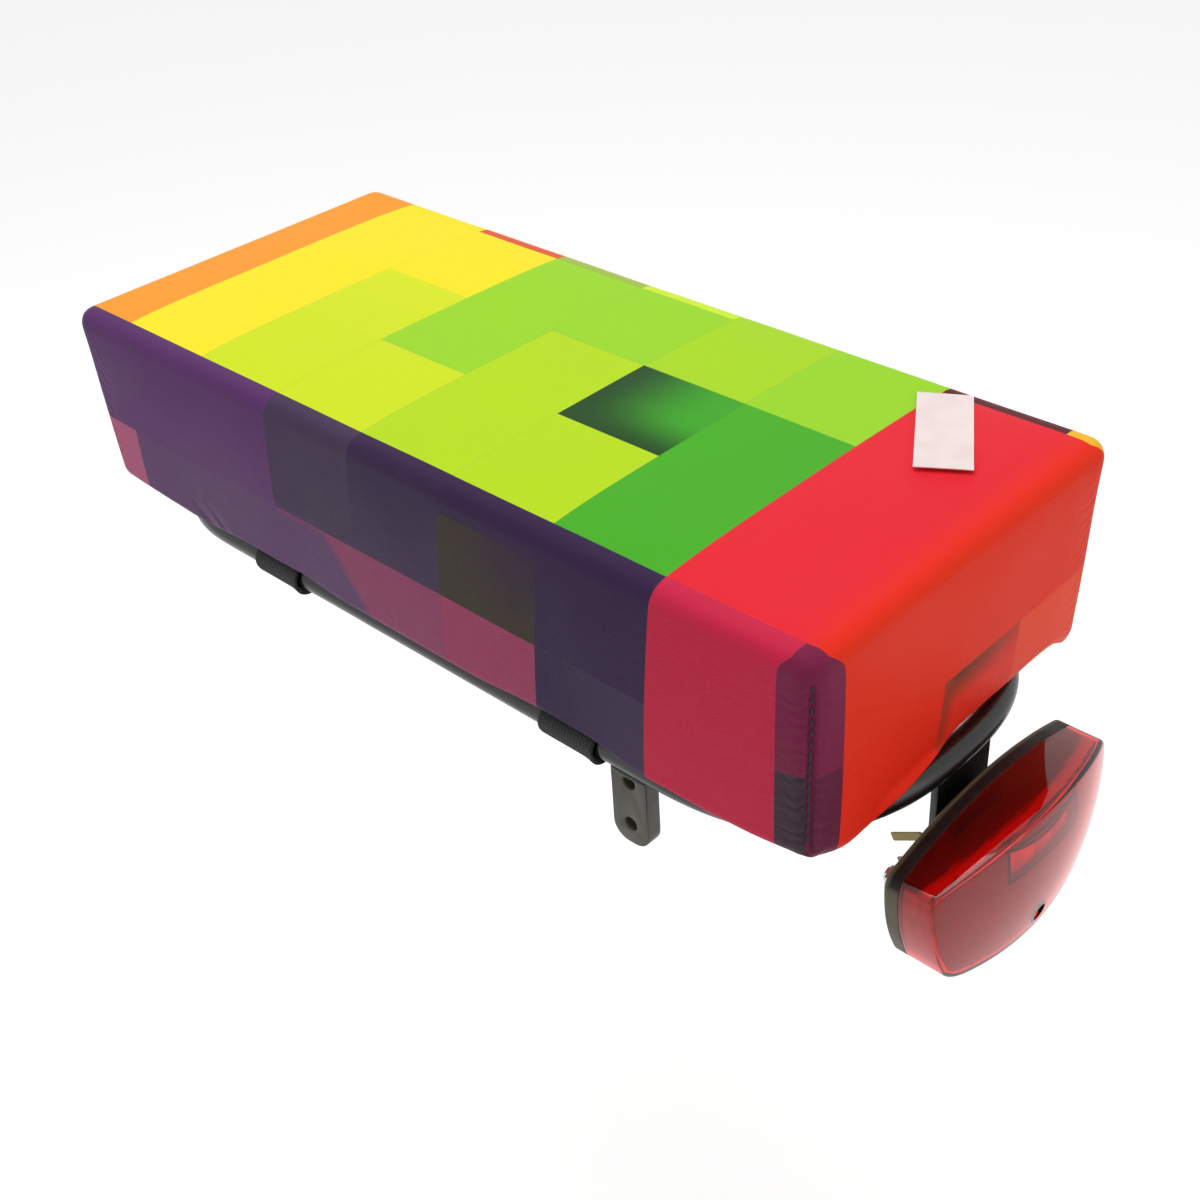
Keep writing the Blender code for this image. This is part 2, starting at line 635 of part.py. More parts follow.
build_cushion()
build_rack()
build_straps()
build_studs()
build_housing()
build_lens()
build_inside()
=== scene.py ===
import json
import random
from math import acos, asin, atan, atan2, copysign, cos, exp, pi, radians, sin, sqrt, tan

import bmesh
import bpy
from mathutils import Matrix, Vector, noise
from mathutils.bvhtree import BVHTree
from mathutils.kdtree import KDTree

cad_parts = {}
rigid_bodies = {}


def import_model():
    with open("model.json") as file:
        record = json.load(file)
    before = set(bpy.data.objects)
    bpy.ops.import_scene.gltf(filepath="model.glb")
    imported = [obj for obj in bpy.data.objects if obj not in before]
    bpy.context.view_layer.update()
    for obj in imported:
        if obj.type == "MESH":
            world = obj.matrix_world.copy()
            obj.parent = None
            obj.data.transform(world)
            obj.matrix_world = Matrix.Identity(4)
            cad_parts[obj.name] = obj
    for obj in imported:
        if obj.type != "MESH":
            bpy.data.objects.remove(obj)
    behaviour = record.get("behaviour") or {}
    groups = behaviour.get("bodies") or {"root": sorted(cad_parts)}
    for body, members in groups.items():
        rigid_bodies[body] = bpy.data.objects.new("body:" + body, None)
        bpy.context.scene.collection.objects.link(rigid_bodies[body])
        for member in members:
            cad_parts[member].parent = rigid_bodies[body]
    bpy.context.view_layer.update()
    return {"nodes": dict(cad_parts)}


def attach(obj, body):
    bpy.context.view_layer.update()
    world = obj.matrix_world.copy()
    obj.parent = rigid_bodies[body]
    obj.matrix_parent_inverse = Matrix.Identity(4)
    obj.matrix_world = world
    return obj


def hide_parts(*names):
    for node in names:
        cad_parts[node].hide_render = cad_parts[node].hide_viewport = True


for leftover in list(bpy.data.objects):
    bpy.data.objects.remove(leftover, do_unlink=True)

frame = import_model()
scene = bpy.context.scene
print("frame loaded:", len(frame["nodes"]), "nodes")

cameraView = {
    "place": (0.39036, -0.36246, 0.34708),
    "right": (0.72671, 0.68488, -0.05322),
    "up": (-0.36356, 0.44918, 0.81613),
    "back": (0.58285, -0.57374, 0.57542),
    "lens": 50.77,
    "sensor": 36,
    "nearest": 0.01,
}


def placeCamera(view):
    data = bpy.data.cameras.new("camera")
    data.lens = view["lens"]
    data.sensor_width = view["sensor"]
    data.clip_start = view["nearest"]
    camera = bpy.data.objects.new("camera", data)
    scene.collection.objects.link(camera)
    axes = Matrix((view["right"], view["up"], view["back"])).transposed().to_4x4()
    camera.matrix_world = Matrix.Translation(view["place"]) @ axes
    scene.camera = camera


placeCamera(cameraView)


# Adds a node to a tree. A socket is given a value, or another node's output
def addNode(tree, kind, sockets=None, **settings):
    node = tree.nodes.new("ShaderNode" + kind)
    for key, value in settings.items():
        setattr(node, key, value)
    for key, value in (sockets or {}).items():
        if isinstance(value, bpy.types.NodeSocket):
            tree.links.new(value, node.inputs[key])
        else:
            node.inputs[key].default_value = value
    return node


def maths(tree, operation, first, second=0.0, third=0.0):
    return addNode(tree, "Math", {0: first, 1: second, 2: third}, operation=operation).outputs[0]


def times(tree, first, second):
    return maths(tree, "MULTIPLY", first, second)


def mixColours(tree, factor, first, second, blend="MIX"):
    node = addNode(tree, "Mix", {0: factor, 6: first, 7: second}, data_type="RGBA", blend_type=blend)
    return node.outputs[2]


def ramp(tree, value, low, high, lowOut=0.0, highOut=1.0, smooth=False):
    style = "SMOOTHSTEP" if smooth else "LINEAR"
    sockets = {"Value": value, "From Min": low, "From Max": high, "To Min": lowOut, "To Max": highOut}
    return addNode(tree, "MapRange", sockets, interpolation_type=style).outputs[0]


def mixValues(tree, factor, first, second):
    return addNode(tree, "Mix", {0: factor, 2: first, 3: second}, data_type="FLOAT").outputs[0]


# One axis of a vector, by its number
def axisOf(tree, vector, axis):
    return addNode(tree, "SeparateXYZ", {0: vector}).outputs[axis]


def noiseAt(tree, place, scale, detail):
    return addNode(tree, "TexNoise", {"Vector": place, "Scale": scale, "Detail": detail}).outputs[0]


def objectPlace(tree):
    return addNode(tree, "TexCoord").outputs["Object"]


def facingOf(tree):
    return addNode(tree, "NewGeometry").outputs["Normal"]


# Links a value or colour to one of a shader's sockets
def feed(shader, socket, value):
    shader.id_data.links.new(value, shader.inputs[socket])


# A shader node group with named inputs (name, kind, value) and outputs (name, kind)
def newGroup(name, inputs, outputs):
    group = bpy.data.node_groups.new(name, "ShaderNodeTree")
    for label, kind, value in inputs:
        socket = group.interface.new_socket(label, in_out="INPUT", socket_type="NodeSocket" + kind)
        if value is not None:
            socket.default_value = value
    for label, kind in outputs:
        group.interface.new_socket(label, in_out="OUTPUT", socket_type="NodeSocket" + kind)
    return group, group.nodes.new("NodeGroupInput").outputs, group.nodes.new("NodeGroupOutput").inputs


def useGroup(tree, group, sockets):
    node = tree.nodes.new("ShaderNodeGroup")
    node.node_tree = group
    for key, value in sockets.items():
        if isinstance(value, bpy.types.NodeSocket):
            tree.links.new(value, node.inputs[key])
        else:
            node.inputs[key].default_value = value
    return node.outputs


# Linear colour of a hex one
def shade(code):
    parts = [int(code[k:k + 2], 16) / 255 for k in (0, 2, 4)]
    return (*[p / 12.92 if p <= 0.04045 else ((p + 0.055) / 1.055) ** 2.4 for p in parts], 1.0)


# One printed field: a rectangle of colour laid over what is under it. It may fade out
# across its columns (Turn 0) or its rows (Turn 1), and lean
def buildPrintGroup():
    group, put, out = newGroup("printedField", [
        ("Under", "Color", None), ("Blank", "Vector", None), ("Colour", "Color", None),
        ("X Start", "Float", 0.0), ("X End", "Float", 1.0), ("Y Start", "Float", 0.0),
        ("Y End", "Float", 1.0), ("Fade", "Float", 0.0), ("Turn", "Float", 0.0),
        ("Softness", "Float", 0.0004), ("Slant", "Float", 0.0)], [("Colour", "Color")])
    split = addNode(group, "SeparateXYZ", {0: put["Blank"]})
    y = split.outputs[1]
    x = maths(group, "MULTIPLY_ADD", maths(group, "SUBTRACT", y, put["Y End"]), put["Slant"],
              split.outputs[0])
    half = times(group, put["Softness"], 0.5)
    mask = None
    for value, start, end in ((x, "X Start", "X End"), (y, "Y Start", "Y End")):
        for edge, sign in ((start, 1), (end, -1)):
            inside = times(group, maths(group, "SUBTRACT", value, put[edge]), sign)
            step = ramp(group, inside, times(group, half, -1.0), half, smooth=True)
            mask = step if mask is None else times(group, mask, step)
    acrossX = ramp(group, x, put["X Start"], put["X End"], smooth=True)
    acrossY = ramp(group, y, put["Y Start"], put["Y End"], smooth=True)
    across = mixValues(group, put["Turn"], acrossX, acrossY)
    strength = maths(group, "ABSOLUTE", put["Fade"])
    away = times(group, strength, across)
    back = times(group, strength, maths(group, "SUBTRACT", 1.0, across))
    forward = maths(group, "GREATER_THAN", put["Fade"], 0.0)
    gone = mixValues(group, forward, back, away)
    mask = times(group, mask, maths(group, "SUBTRACT", 1.0, gone))
    group.links.new(mixColours(group, mask, put["Under"], put["Colour"]), out["Colour"])
    return group


# Crossed threads: warp over weft by turns
def buildWeaveGroup():
    group, put, out = newGroup("weave", [
        ("Place", "Vector", None), ("Pitch", "Float", 0.0004), ("Twill", "Float", 0.0)],
        [("Height", "Float"), ("Warp", "Float")])
    scaled = addNode(group, "VectorMath", {0: put["Place"]}, operation="SCALE")
    group.links.new(maths(group, "DIVIDE", 1.0, put["Pitch"]), scaled.inputs["Scale"])
    split = addNode(group, "SeparateXYZ", {0: scaled.outputs[0]})
    u, v = split.outputs[0], split.outputs[1]
    threads = []
    for value in (u, v):
        wave = maths(group, "SINE", times(group, value, 2 * pi))
        threads.append(maths(group, "MULTIPLY_ADD", wave, 0.5, 0.5))
    shift = times(group, maths(group, "FLOOR", v), put["Twill"])
    turns = maths(group, "ADD", maths(group, "ADD", maths(group, "FLOOR", u), shift),
                  maths(group, "FLOOR", v))
    over = maths(group, "FRACT", times(group, turns, 0.5))
    warp = maths(group, "GREATER_THAN", over, 0.25)
    height = mixValues(group, warp, threads[0], threads[1])
    group.links.new(height, out["Height"])
    group.links.new(warp, out["Warp"])
    return group


# Fine unevenness of a moulded, painted or coated surface
def buildGrainGroup():
    group, put, out = newGroup("grain", [
        ("Place", "Vector", None), ("Size", "Float", 0.001), ("Contrast", "Float", 1.0)],
        [("Height", "Float"), ("Blotch", "Float")])
    scale = maths(group, "DIVIDE", 1.0, put["Size"])
    fine = noiseAt(group, put["Place"], scale, 3.0)
    broad = noiseAt(group, put["Place"], times(group, scale, 0.08), 2.0)
    group.links.new(times(group, fine, put["Contrast"]), out["Height"])
    group.links.new(ramp(group, broad, 0.35, 0.65), out["Blotch"])
    return group


# Dust that lies on what faces up, broken by noise
def buildDustGroup():
    group, put, out = newGroup("dust", [
        ("Place", "Vector", None), ("Normal", "Vector", None), ("Colour", "Color", None),
        ("Dust Colour", "Color", (0.35, 0.33, 0.3, 1)), ("Amount", "Float", 0.1)],
        [("Colour", "Color"), ("Mask", "Float")])
    up = axisOf(group, put["Normal"], 2)
    facing = ramp(group, up, 0.2, 1.0)
    specks = noiseAt(group, put["Place"], 900.0, 5.0)
    mask = times(group, times(group, facing, ramp(group, specks, 0.42, 0.68)),
                 put["Amount"])
    group.links.new(mixColours(group, mask, put["Colour"], put["Dust Colour"]), out["Colour"])
    group.links.new(mask, out["Mask"])
    return group


# Small folds that run into a seam: Seam is the distance from it and the place along it
def buildPuckerGroup():
    group, put, out = newGroup("seamPuckers", [
        ("Seam", "Vector", None), ("Place", "Vector", None), ("Pitch", "Float", 0.0046),
        ("Reach", "Float", 0.006), ("Depth", "Float", 0.0004), ("Start", "Float", 0.066)],
        [("Height", "Float")])
    split = addNode(group, "SeparateXYZ", {0: put["Seam"]})
    away, height = split.outputs[0], split.outputs[1]
    stray = noiseAt(group, put["Place"], 120.0, 2.0)
    turn = maths(group, "DIVIDE", maths(group, "MULTIPLY_ADD", away, 0.35, height), put["Pitch"])
    turn = maths(group, "ADD", turn, times(group, stray, 2.6))
    wave = maths(group, "SINE", times(group, turn, 2 * pi))
    fall = maths(group, "EXPONENT", times(group, maths(group, "DIVIDE", away, put["Reach"]), -1.0))
    below = ramp(group, maths(group, "SUBTRACT", put["Start"], height), -0.004, 0.012, smooth=True)
    uneven = ramp(group, stray, 0.35, 0.65, 0.35, 1.0)
    size = times(group, times(group, fall, below), times(group, uneven, put["Depth"]))
    group.links.new(times(group, wave, size), out["Height"])
    return group


# A crease from one place on the blank to another
def buildCreaseGroup():
    group, put, out = newGroup("crease", [
        ("Blank", "Vector", None), ("Start", "Vector", None), ("End", "Vector", None),
        ("Width", "Float", 0.0015), ("Depth", "Float", 0.0004)], [("Height", "Float")])
    run = addNode(group, "VectorMath", {0: put["End"], 1: put["Start"]}, operation="SUBTRACT").outputs[0]
    here = addNode(group, "VectorMath", {0: put["Blank"], 1: put["Start"]}, operation="SUBTRACT").outputs[0]
    dots = [addNode(group, "VectorMath", {0: a, 1: run}, operation="DOT_PRODUCT").outputs["Value"]
            for a in (here, run)]
    share = ramp(group, maths(group, "DIVIDE", dots[0], dots[1]), 0.0, 1.0)
    scaled = addNode(group, "VectorMath", {0: run}, operation="SCALE")
    group.links.new(share, scaled.inputs["Scale"])
    gap = addNode(group, "VectorMath", {0: here, 1: scaled.outputs[0]}, operation="DISTANCE").outputs["Value"]
    near = maths(group, "POWER", maths(group, "DIVIDE", gap, put["Width"]), 2.0)
    dip = maths(group, "EXPONENT", times(group, near, -1.0))
    taper = maths(group, "SINE", times(group, share, pi))
    size = times(group, times(group, dip, taper), put["Depth"])
    group.links.new(times(group, size, -1.0), out["Height"])
    return group


printedField = buildPrintGroup()
seamPuckers = buildPuckerGroup()
crease = buildCreaseGroup()
weave = buildWeaveGroup()
grain = buildGrainGroup()
dust = buildDustGroup()


def newMaterial(name, sockets):
    material = bpy.data.materials.new(name)
    material.use_nodes = True
    tree = material.node_tree
    shader = tree.nodes["Principled BSDF"]
    for key, value in sockets.items():
        shader.inputs[key].default_value = value
    return material, tree, shader


def addBump(tree, shader, height, distance, strength=1.0):
    bump = addNode(tree, "Bump", {"Height": height, "Distance": distance, "Strength": strength})
    feed(shader, "Normal", bump.outputs[0])


# Paint, plastic or metal with a fine grain, an uneven gloss and a little dust
def hardMaterial(name, colour, roughness, size, depth, dusty, sockets):
    material, tree, shader = newMaterial(name, sockets)
    place = objectPlace(tree)
    normal = facingOf(tree)
    fine = useGroup(tree, grain, {"Place": place, "Size": size})
    settled = useGroup(tree, dust, {"Place": place, "Normal": normal, "Colour": colour, "Amount": dusty})
    feed(shader, "Base Color", settled["Colour"])
    gloss = ramp(tree, fine["Blotch"], 0.0, 1.0, roughness * 0.85, roughness * 1.2)
    gloss = maths(tree, "MULTIPLY_ADD", settled["Mask"], 0.5, gloss)
    feed(shader, "Roughness", gloss)
    addBump(tree, shader, fine["Height"], depth)
    return material


sameSpot = 1e-6                   # places nearer than this are one place
sharpAngle = 40                   # an edge that turns more than this stays sharp
weldDistance = 0.000005


# Turns the faces outward, and joins points that lie within a weld distance, if one is given
def cleanMesh(mesh, weld=0.0):
    bm = bmesh.new()
    bm.from_mesh(mesh)
    if weld:
        bmesh.ops.remove_doubles(bm, verts=bm.verts, dist=weld)
    bmesh.ops.recalc_face_normals(bm, faces=bm.faces)
    bm.to_mesh(mesh)
    bm.free()


def smoothBelow(mesh, angle):
    mesh.shade_smooth()
    mesh.set_sharp_from_angle(angle=radians(angle))


def makePiece(name, verts, faces, material, sharp=sharpAngle):
    mesh = bpy.data.meshes.new(name)
    mesh.from_pydata([tuple(v) for v in verts], [], faces)
    mesh.materials.append(material)
    cleanMesh(mesh)
    smoothBelow(mesh, sharp)
    piece = bpy.data.objects.new(name, mesh)
    scene.collection.objects.link(piece)
    return piece


# The piece rides on the rack and stands for CAD nodes, which are hidden
def settle(piece, slotName, *nodes):
    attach(piece, "root")
    if nodes:
        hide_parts(*nodes)


# Skin through rings of points, one ring after another
def loft(rings, closed=False):
    count = len(rings[0])
    verts = [point for ring in rings for point in ring]
    faces = []
    last = len(rings) if closed else len(rings) - 1
    for r in range(last):
        here, there = r * count, (r + 1) % len(rings) * count
        for k in range(count):
            n = (k + 1) % count
            faces.append((here + k, here + n, there + n, there + k))
    if not closed:
        faces.append(tuple(range(count))[::-1])
        faces.append(tuple(range(len(verts) - count, len(verts))))
    return verts, faces


# Adds one shape's points and faces to another's
def joinShapes(shapes):
    verts, faces = [], []
    for moreVerts, moreFaces in shapes:
        start = len(verts)
        verts.extend(moreVerts)
        faces.extend(tuple(start + k for k in face) for face in moreFaces)
    return verts, faces


# Points round a middle, across two directions
def ringAround(middle, side, across, radius, sides):
    turns = (2 * pi * s / sides for s in range(sides))
    return [middle + (side * cos(a) + across * sin(a)) * radius for a in turns]


# Round bar along a path, with the radius at each of its points
def sweep(path, radius, sides=16, closed=False):
    points = [Vector(p) for p in path]
    count = len(points)
    radii = radius if isinstance(radius, (list, tuple)) else [radius] * count
    rings = []
    side = None
    for k, point in enumerate(points):
        before = points[k - 1] if closed or k else point
        after = points[(k + 1) % count] if closed or k < count - 1 else point
        along = (after - before).normalized()
        if side is None:
            side = along.orthogonal().normalized()
        side = (side - along * side.dot(along)).normalized()
        across = along.cross(side)
        rings.append(ringAround(point, side, across, radii[k], sides))
    return loft(rings, closed)


# Solid turned about a line from start along axis, from (distance, radius) pairs
def turned(start, axis, profile, sides=32):
    along = Vector(axis).normalized()
    side = along.orthogonal().normalized()
    across = along.cross(side)
    rings = []
    for distance, radius in profile:
        rings.append(ringAround(Vector(start) + along * distance, side, across, radius, sides))
    return loft(rings)


def cut(piece, other, operation="DIFFERENCE"):
    step = piece.modifiers.new("cut", "BOOLEAN")
    step.operation = operation
    step.solver = "EXACT"
    step.object = other
    applyModifiers(piece)
    bpy.data.objects.remove(other, do_unlink=True)


def applyModifiers(piece):
    bpy.context.view_layer.update()
    graph = bpy.context.evaluated_depsgraph_get()
    mesh = bpy.data.meshes.new_from_object(piece.evaluated_get(graph), depsgraph=graph)
    piece.modifiers.clear()
    piece.data = mesh


# What turns a flat outline to face along X or along Y
facingX = Matrix(((0, 0, 1, 0), (1, 0, 0, 0), (0, 1, 0, 0), (0, 0, 0, 1)))
facingY = Matrix(((1, 0, 0, 0), (0, 0, -1, 0), (0, 1, 0, 0), (0, 0, 0, 1)))


# Flat plate from low to high with holes and rounded edges
def plate(name, outline, low, high, facing, material, holes=(), edge=0.0):
    curve = bpy.data.curves.new(name, "CURVE")
    curve.dimensions = "2D"
    curve.fill_mode = "BOTH"
    curve.extrude = (high - low) / 2 - edge
    curve.bevel_depth = edge
    curve.bevel_resolution = 2
    curve.offset = -edge
    for ring in (outline, *holes):
        spline = curve.splines.new("POLY")
        spline.points.add(len(ring) - 1)
        for point, (u, v) in zip(spline.points, ring):
            point.co = (u, v, 0, 1)
        spline.use_cyclic_u = True
    item = bpy.data.objects.new(name + "Curve", curve)
    scene.collection.objects.link(item)
    bpy.context.view_layer.update()
    graph = bpy.context.evaluated_depsgraph_get()
    mesh = bpy.data.meshes.new_from_object(item.evaluated_get(graph))
    bpy.data.objects.remove(item, do_unlink=True)
    shift = facing.to_3x3() @ Vector((0, 0, (low + high) / 2))
    mesh.transform(Matrix.Translation(shift) @ facing)
    cleanMesh(mesh, weldDistance)
    mesh.materials.clear()
    mesh.materials.append(material)
    smoothBelow(mesh, sharpAngle)
    piece = bpy.data.objects.new(name, mesh)
    scene.collection.objects.link(piece)
    return piece


def circle(centre, radius, sides=40):
    turns = [2 * pi * k / sides for k in range(sides)]
    return [(centre[0] + radius * cos(a), centre[1] + radius * sin(a)) for a in turns]


# Polygon with each corner rounded to its own radius
def rounded(corners, radii, steps=10):
    points = []
    for k, corner in enumerate(corners):
        here = Vector(corner)
        back = (Vector(corners[k - 1]) - here).normalized()
        ahead = (Vector(corners[(k + 1) % len(corners)]) - here).normalized()
        if radii[k] == 0:
            points.append(tuple(here))
            continue
        half = back.angle(ahead) / 2
        centre = here + (back + ahead).normalized() * radii[k] / sin(half)
        first = here + back * radii[k] / tan(half) - centre
        last = here + ahead * radii[k] / tan(half) - centre
        start = atan2(first.y, first.x)
        turn = (atan2(last.y, last.x) - start + pi) % (2 * pi) - pi
        for s in range(steps + 1):
            a = start + turn * s / steps
            points.append((centre.x + radii[k] * cos(a), centre.y + radii[k] * sin(a)))
    return points


# Faces of a closed sheet of cells in rows and columns; its back's points follow its front's
def sheetFaces(rows, columns):
    count = (rows + 1) * (columns + 1)
    faces = []
    for i in range(rows):
        for j in range(columns):
            a = i * (columns + 1) + j
            quad = (a, a + columns + 1, a + columns + 2, a + 1)
            faces.append(quad)
            faces.append(tuple(count + n for n in quad[::-1]))
    rim = [i * (columns + 1) for i in range(rows + 1)]
    rim += [rows * (columns + 1) + j for j in range(1, columns + 1)]
    rim += [i * (columns + 1) + columns for i in range(rows - 1, -1, -1)]
    rim += list(range(columns - 1, 0, -1))
    for k, a in enumerate(rim):
        b = rim[(k + 1) % len(rim)]
        faces.append((a, b, count + b, count + a))
    return faces


# Block with rounded edges and evenly spread faces
def softBlock(low, high, radius, cell):
    low, high = Vector(low), Vector(high)
    middle, half = (low + high) / 2, (high - low) / 2
    counts = [max(2, round(2 * half[k] / cell)) for k in range(3)]
    index, verts, faces = {}, [], []

    def vertex(key):
        if key not in index:
            place = Vector([(2 * key[k] / counts[k] - 1) * half[k] for k in range(3)])
            core = Vector([max(-half[k] + radius, min(half[k] - radius, place[k])) for k in range(3)])
            away = place - core
            if away.length > 0:
                place = core + away.normalized() * radius
            index[key] = len(verts)
            verts.append(middle + place)
        return index[key]

    for axis in range(3):
        one, two = (axis + 1) % 3, (axis + 2) % 3
        for end in (0, counts[axis]):
            for a in range(counts[one]):
                for b in range(counts[two]):
                    corners = []
                    for da, db in ((0, 0), (1, 0), (1, 1), (0, 1)):
                        key = [0, 0, 0]
                        key[axis], key[one], key[two] = end, a + da, b + db
                        corners.append(vertex(tuple(key)))
                    faces.append(tuple(corners if end else corners[::-1]))
    return verts, faces


print("tools ready")

rack = {
    "height": -0.0066, "halfTrack": 0.0675, "tube": 0.005, "sides": 36,
    "straight": 0.110, "rearReach": 0.067, "frontReach": 0.050, "squareness": 2.6, "bendSteps": 56,
    "barPlaces": (-0.1013, 0.0, 0.1013), "barRadius": 0.004,
    "bead": 0.0011, "tabPlace": 0.1013, "tabWidth": 0.0158, "tabThickness": 0.006,
    "tabLength": 0.0340, "tabCorner": 0.0065, "holeRadius": 0.0026, "holePitch": 0.0178,
    "holeRise": 0.0083, "edge": 0.0005, "pathPoints": 260, "measurePoints": 2000,
    "weldGap": 0.0002, "barBeadSteps": 40, "tabBeadSteps": 24, "tabBeadInset": 0.001,
    "tabBeadGap": 0.0001, "beadSides": 10, "tabSink": 0.0006, "squareCorner": 0.0002,
    # a bead's waviness: depth, turn from step to step, and stray part
    "barWave": (0.14, 2.1, 0.06), "tabWave": (0.12, 1.9, 0.05),
}

blackPaint = hardMaterial("blackPaint", shade("0A0A0B"), 0.26, 0.0016, 0.00002, 0.04,
                          {"Specular IOR Level": 0.45, "Coat Weight": 0.12, "Coat Roughness": 0.1})
tabPaint = hardMaterial("tabPaint", shade("413D31"), 0.42, 0.0008, 0.00003, 0.08, {})


# One end of the rack's loop, from its -Y side tube to its +Y one
def loopEnd(start, reach, r):
    points = []
    for k in range(r["bendSteps"] + 1):
        a = pi * (k / r["bendSteps"] - 0.5)
        x = start + reach * max(cos(a), 0) ** (2 / r["squareness"])
        y = r["halfTrack"] * abs(sin(a)) ** (2 / r["squareness"])
        points.append((x, y if a > 0 else -y, r["height"]))
    return points


# Evenly spaced points along a closed path
def evenly(path, count):
    points = [Vector(p) for p in path]
    runs = [0.0]
    for k in range(len(points)):
        runs.append(runs[-1] + (points[(k + 1) % len(points)] - points[k]).length)
    out, k = [], 0
    for n in range(count):
        want = runs[-1] * n / count
        while runs[k + 1] < want:
            k += 1
        share = (want - runs[k]) / max(runs[k + 1] - runs[k], 1e-9)
        out.append(points[k].lerp(points[(k + 1) % len(points)], share))
    return out


loopPath = loopEnd(rack["straight"], rack["rearReach"], rack)
loopPath += loopEnd(-rack["straight"], -rack["frontReach"], rack)[::-1]
tubePath = evenly(loopPath, rack["pathPoints"])
tubeTree = KDTree(rack["measurePoints"])    # finds the place on the tube nearest to the cloth
for k, point in enumerate(evenly(loopPath, rack["measurePoints"])):
    tubeTree.insert(point, k)
tubeTree.balance()


def buildRack(r):
    verts, faces = sweep(tubePath, r["tube"], r["sides"], closed=True)
    settle(makePiece("rackTube", verts, faces, blackPaint, sharp=60), "black_paint", "rack_loop")
    random.seed(4)
    verts, faces = joinShapes(barBeads(r) + tabBeads(r))
    settle(makePiece("weldBeads", verts, faces, blackPaint, sharp=60), "black_paint")
    buildTabs(r)


# Radii of a weld bead that swells and shrinks along its run
def beadRadii(r, steps, depth, turn, stray):
    return [r["bead"] * (1 + depth * sin(k * turn) + random.uniform(-stray, stray)) for k in range(steps)]


# Weld beads round the ends of the cross bars
def barBeads(r):
    beads, steps, around = [], r["barBeadSteps"], r["barRadius"] + r["weldGap"]
    for x in r["barPlaces"]:
        for side in (-1, 1):
            ring = []
            for k in range(steps):
                a = 2 * pi * k / steps
                high = cos(a) * around
                out = sqrt(max(0, r["tube"] ** 2 - high ** 2))
                ring.append((x + sin(a) * around, side * (r["halfTrack"] - out - r["weldGap"]),
                             r["height"] + high))
            beads.append(sweep(ring, beadRadii(r, steps, *r["barWave"]), r["beadSides"], closed=True))
    return beads


# Weld beads along both faces of the tabs, thinner at their ends
def tabBeads(r):
    beads, steps = [], r["tabBeadSteps"]
    z = r["height"] - sqrt(r["tube"] ** 2 - (r["tabThickness"] / 2) ** 2) - r["weldGap"]
    left = r["tabPlace"] - r["tabWidth"] / 2 + r["tabBeadInset"]
    for side in (-1, 1):
        for face in (-1, 1):
            y = side * r["halfTrack"] + face * (r["tabThickness"] / 2 + r["tabBeadGap"])
            run = [(left + (r["tabWidth"] - 2 * r["tabBeadInset"]) * k / steps, y, z)
                   for k in range(steps + 1)]
            radii = [radius * min(1, 0.5 + 0.25 * min(k, steps - k))
                     for k, radius in enumerate(beadRadii(r, steps + 1, *r["tabWave"]))]
            beads.append(sweep(run, radii, r["beadSides"]))
    return beads


def buildTabs(r):
    low = r["height"] - r["tabLength"]
    left, right = r["tabPlace"] - r["tabWidth"] / 2, r["tabPlace"] + r["tabWidth"] / 2
    high = r["height"] - r["tube"] + r["tabSink"]
    outline = rounded([(left, low), (right, low), (right, high), (left, high)],
                      [r["tabCorner"]] * 2 + [r["squareCorner"]] * 2)
    heights = (low + r["holeRise"], low + r["holeRise"] + r["holePitch"])
    holes = [circle((r["tabPlace"], z), r["holeRadius"]) for z in heights]
    for name, side, node in (("stayTabLeft", 1, "stay_tab_left"), ("stayTabRight", -1, "stay_tab_right")):
        middle = side * r["halfTrack"]
        piece = plate(name, outline, middle - r["tabThickness"] / 2, middle + r["tabThickness"] / 2,
                      facingY, tabPaint, holes, r["edge"])
        settle(piece, "tab_paint", node)


buildRack(rack)
for node in ("cross_bar_front", "cross_bar_middle", "cross_bar_rear"):
    frame["nodes"][node].data.materials[0] = blackPaint
print("rack made")

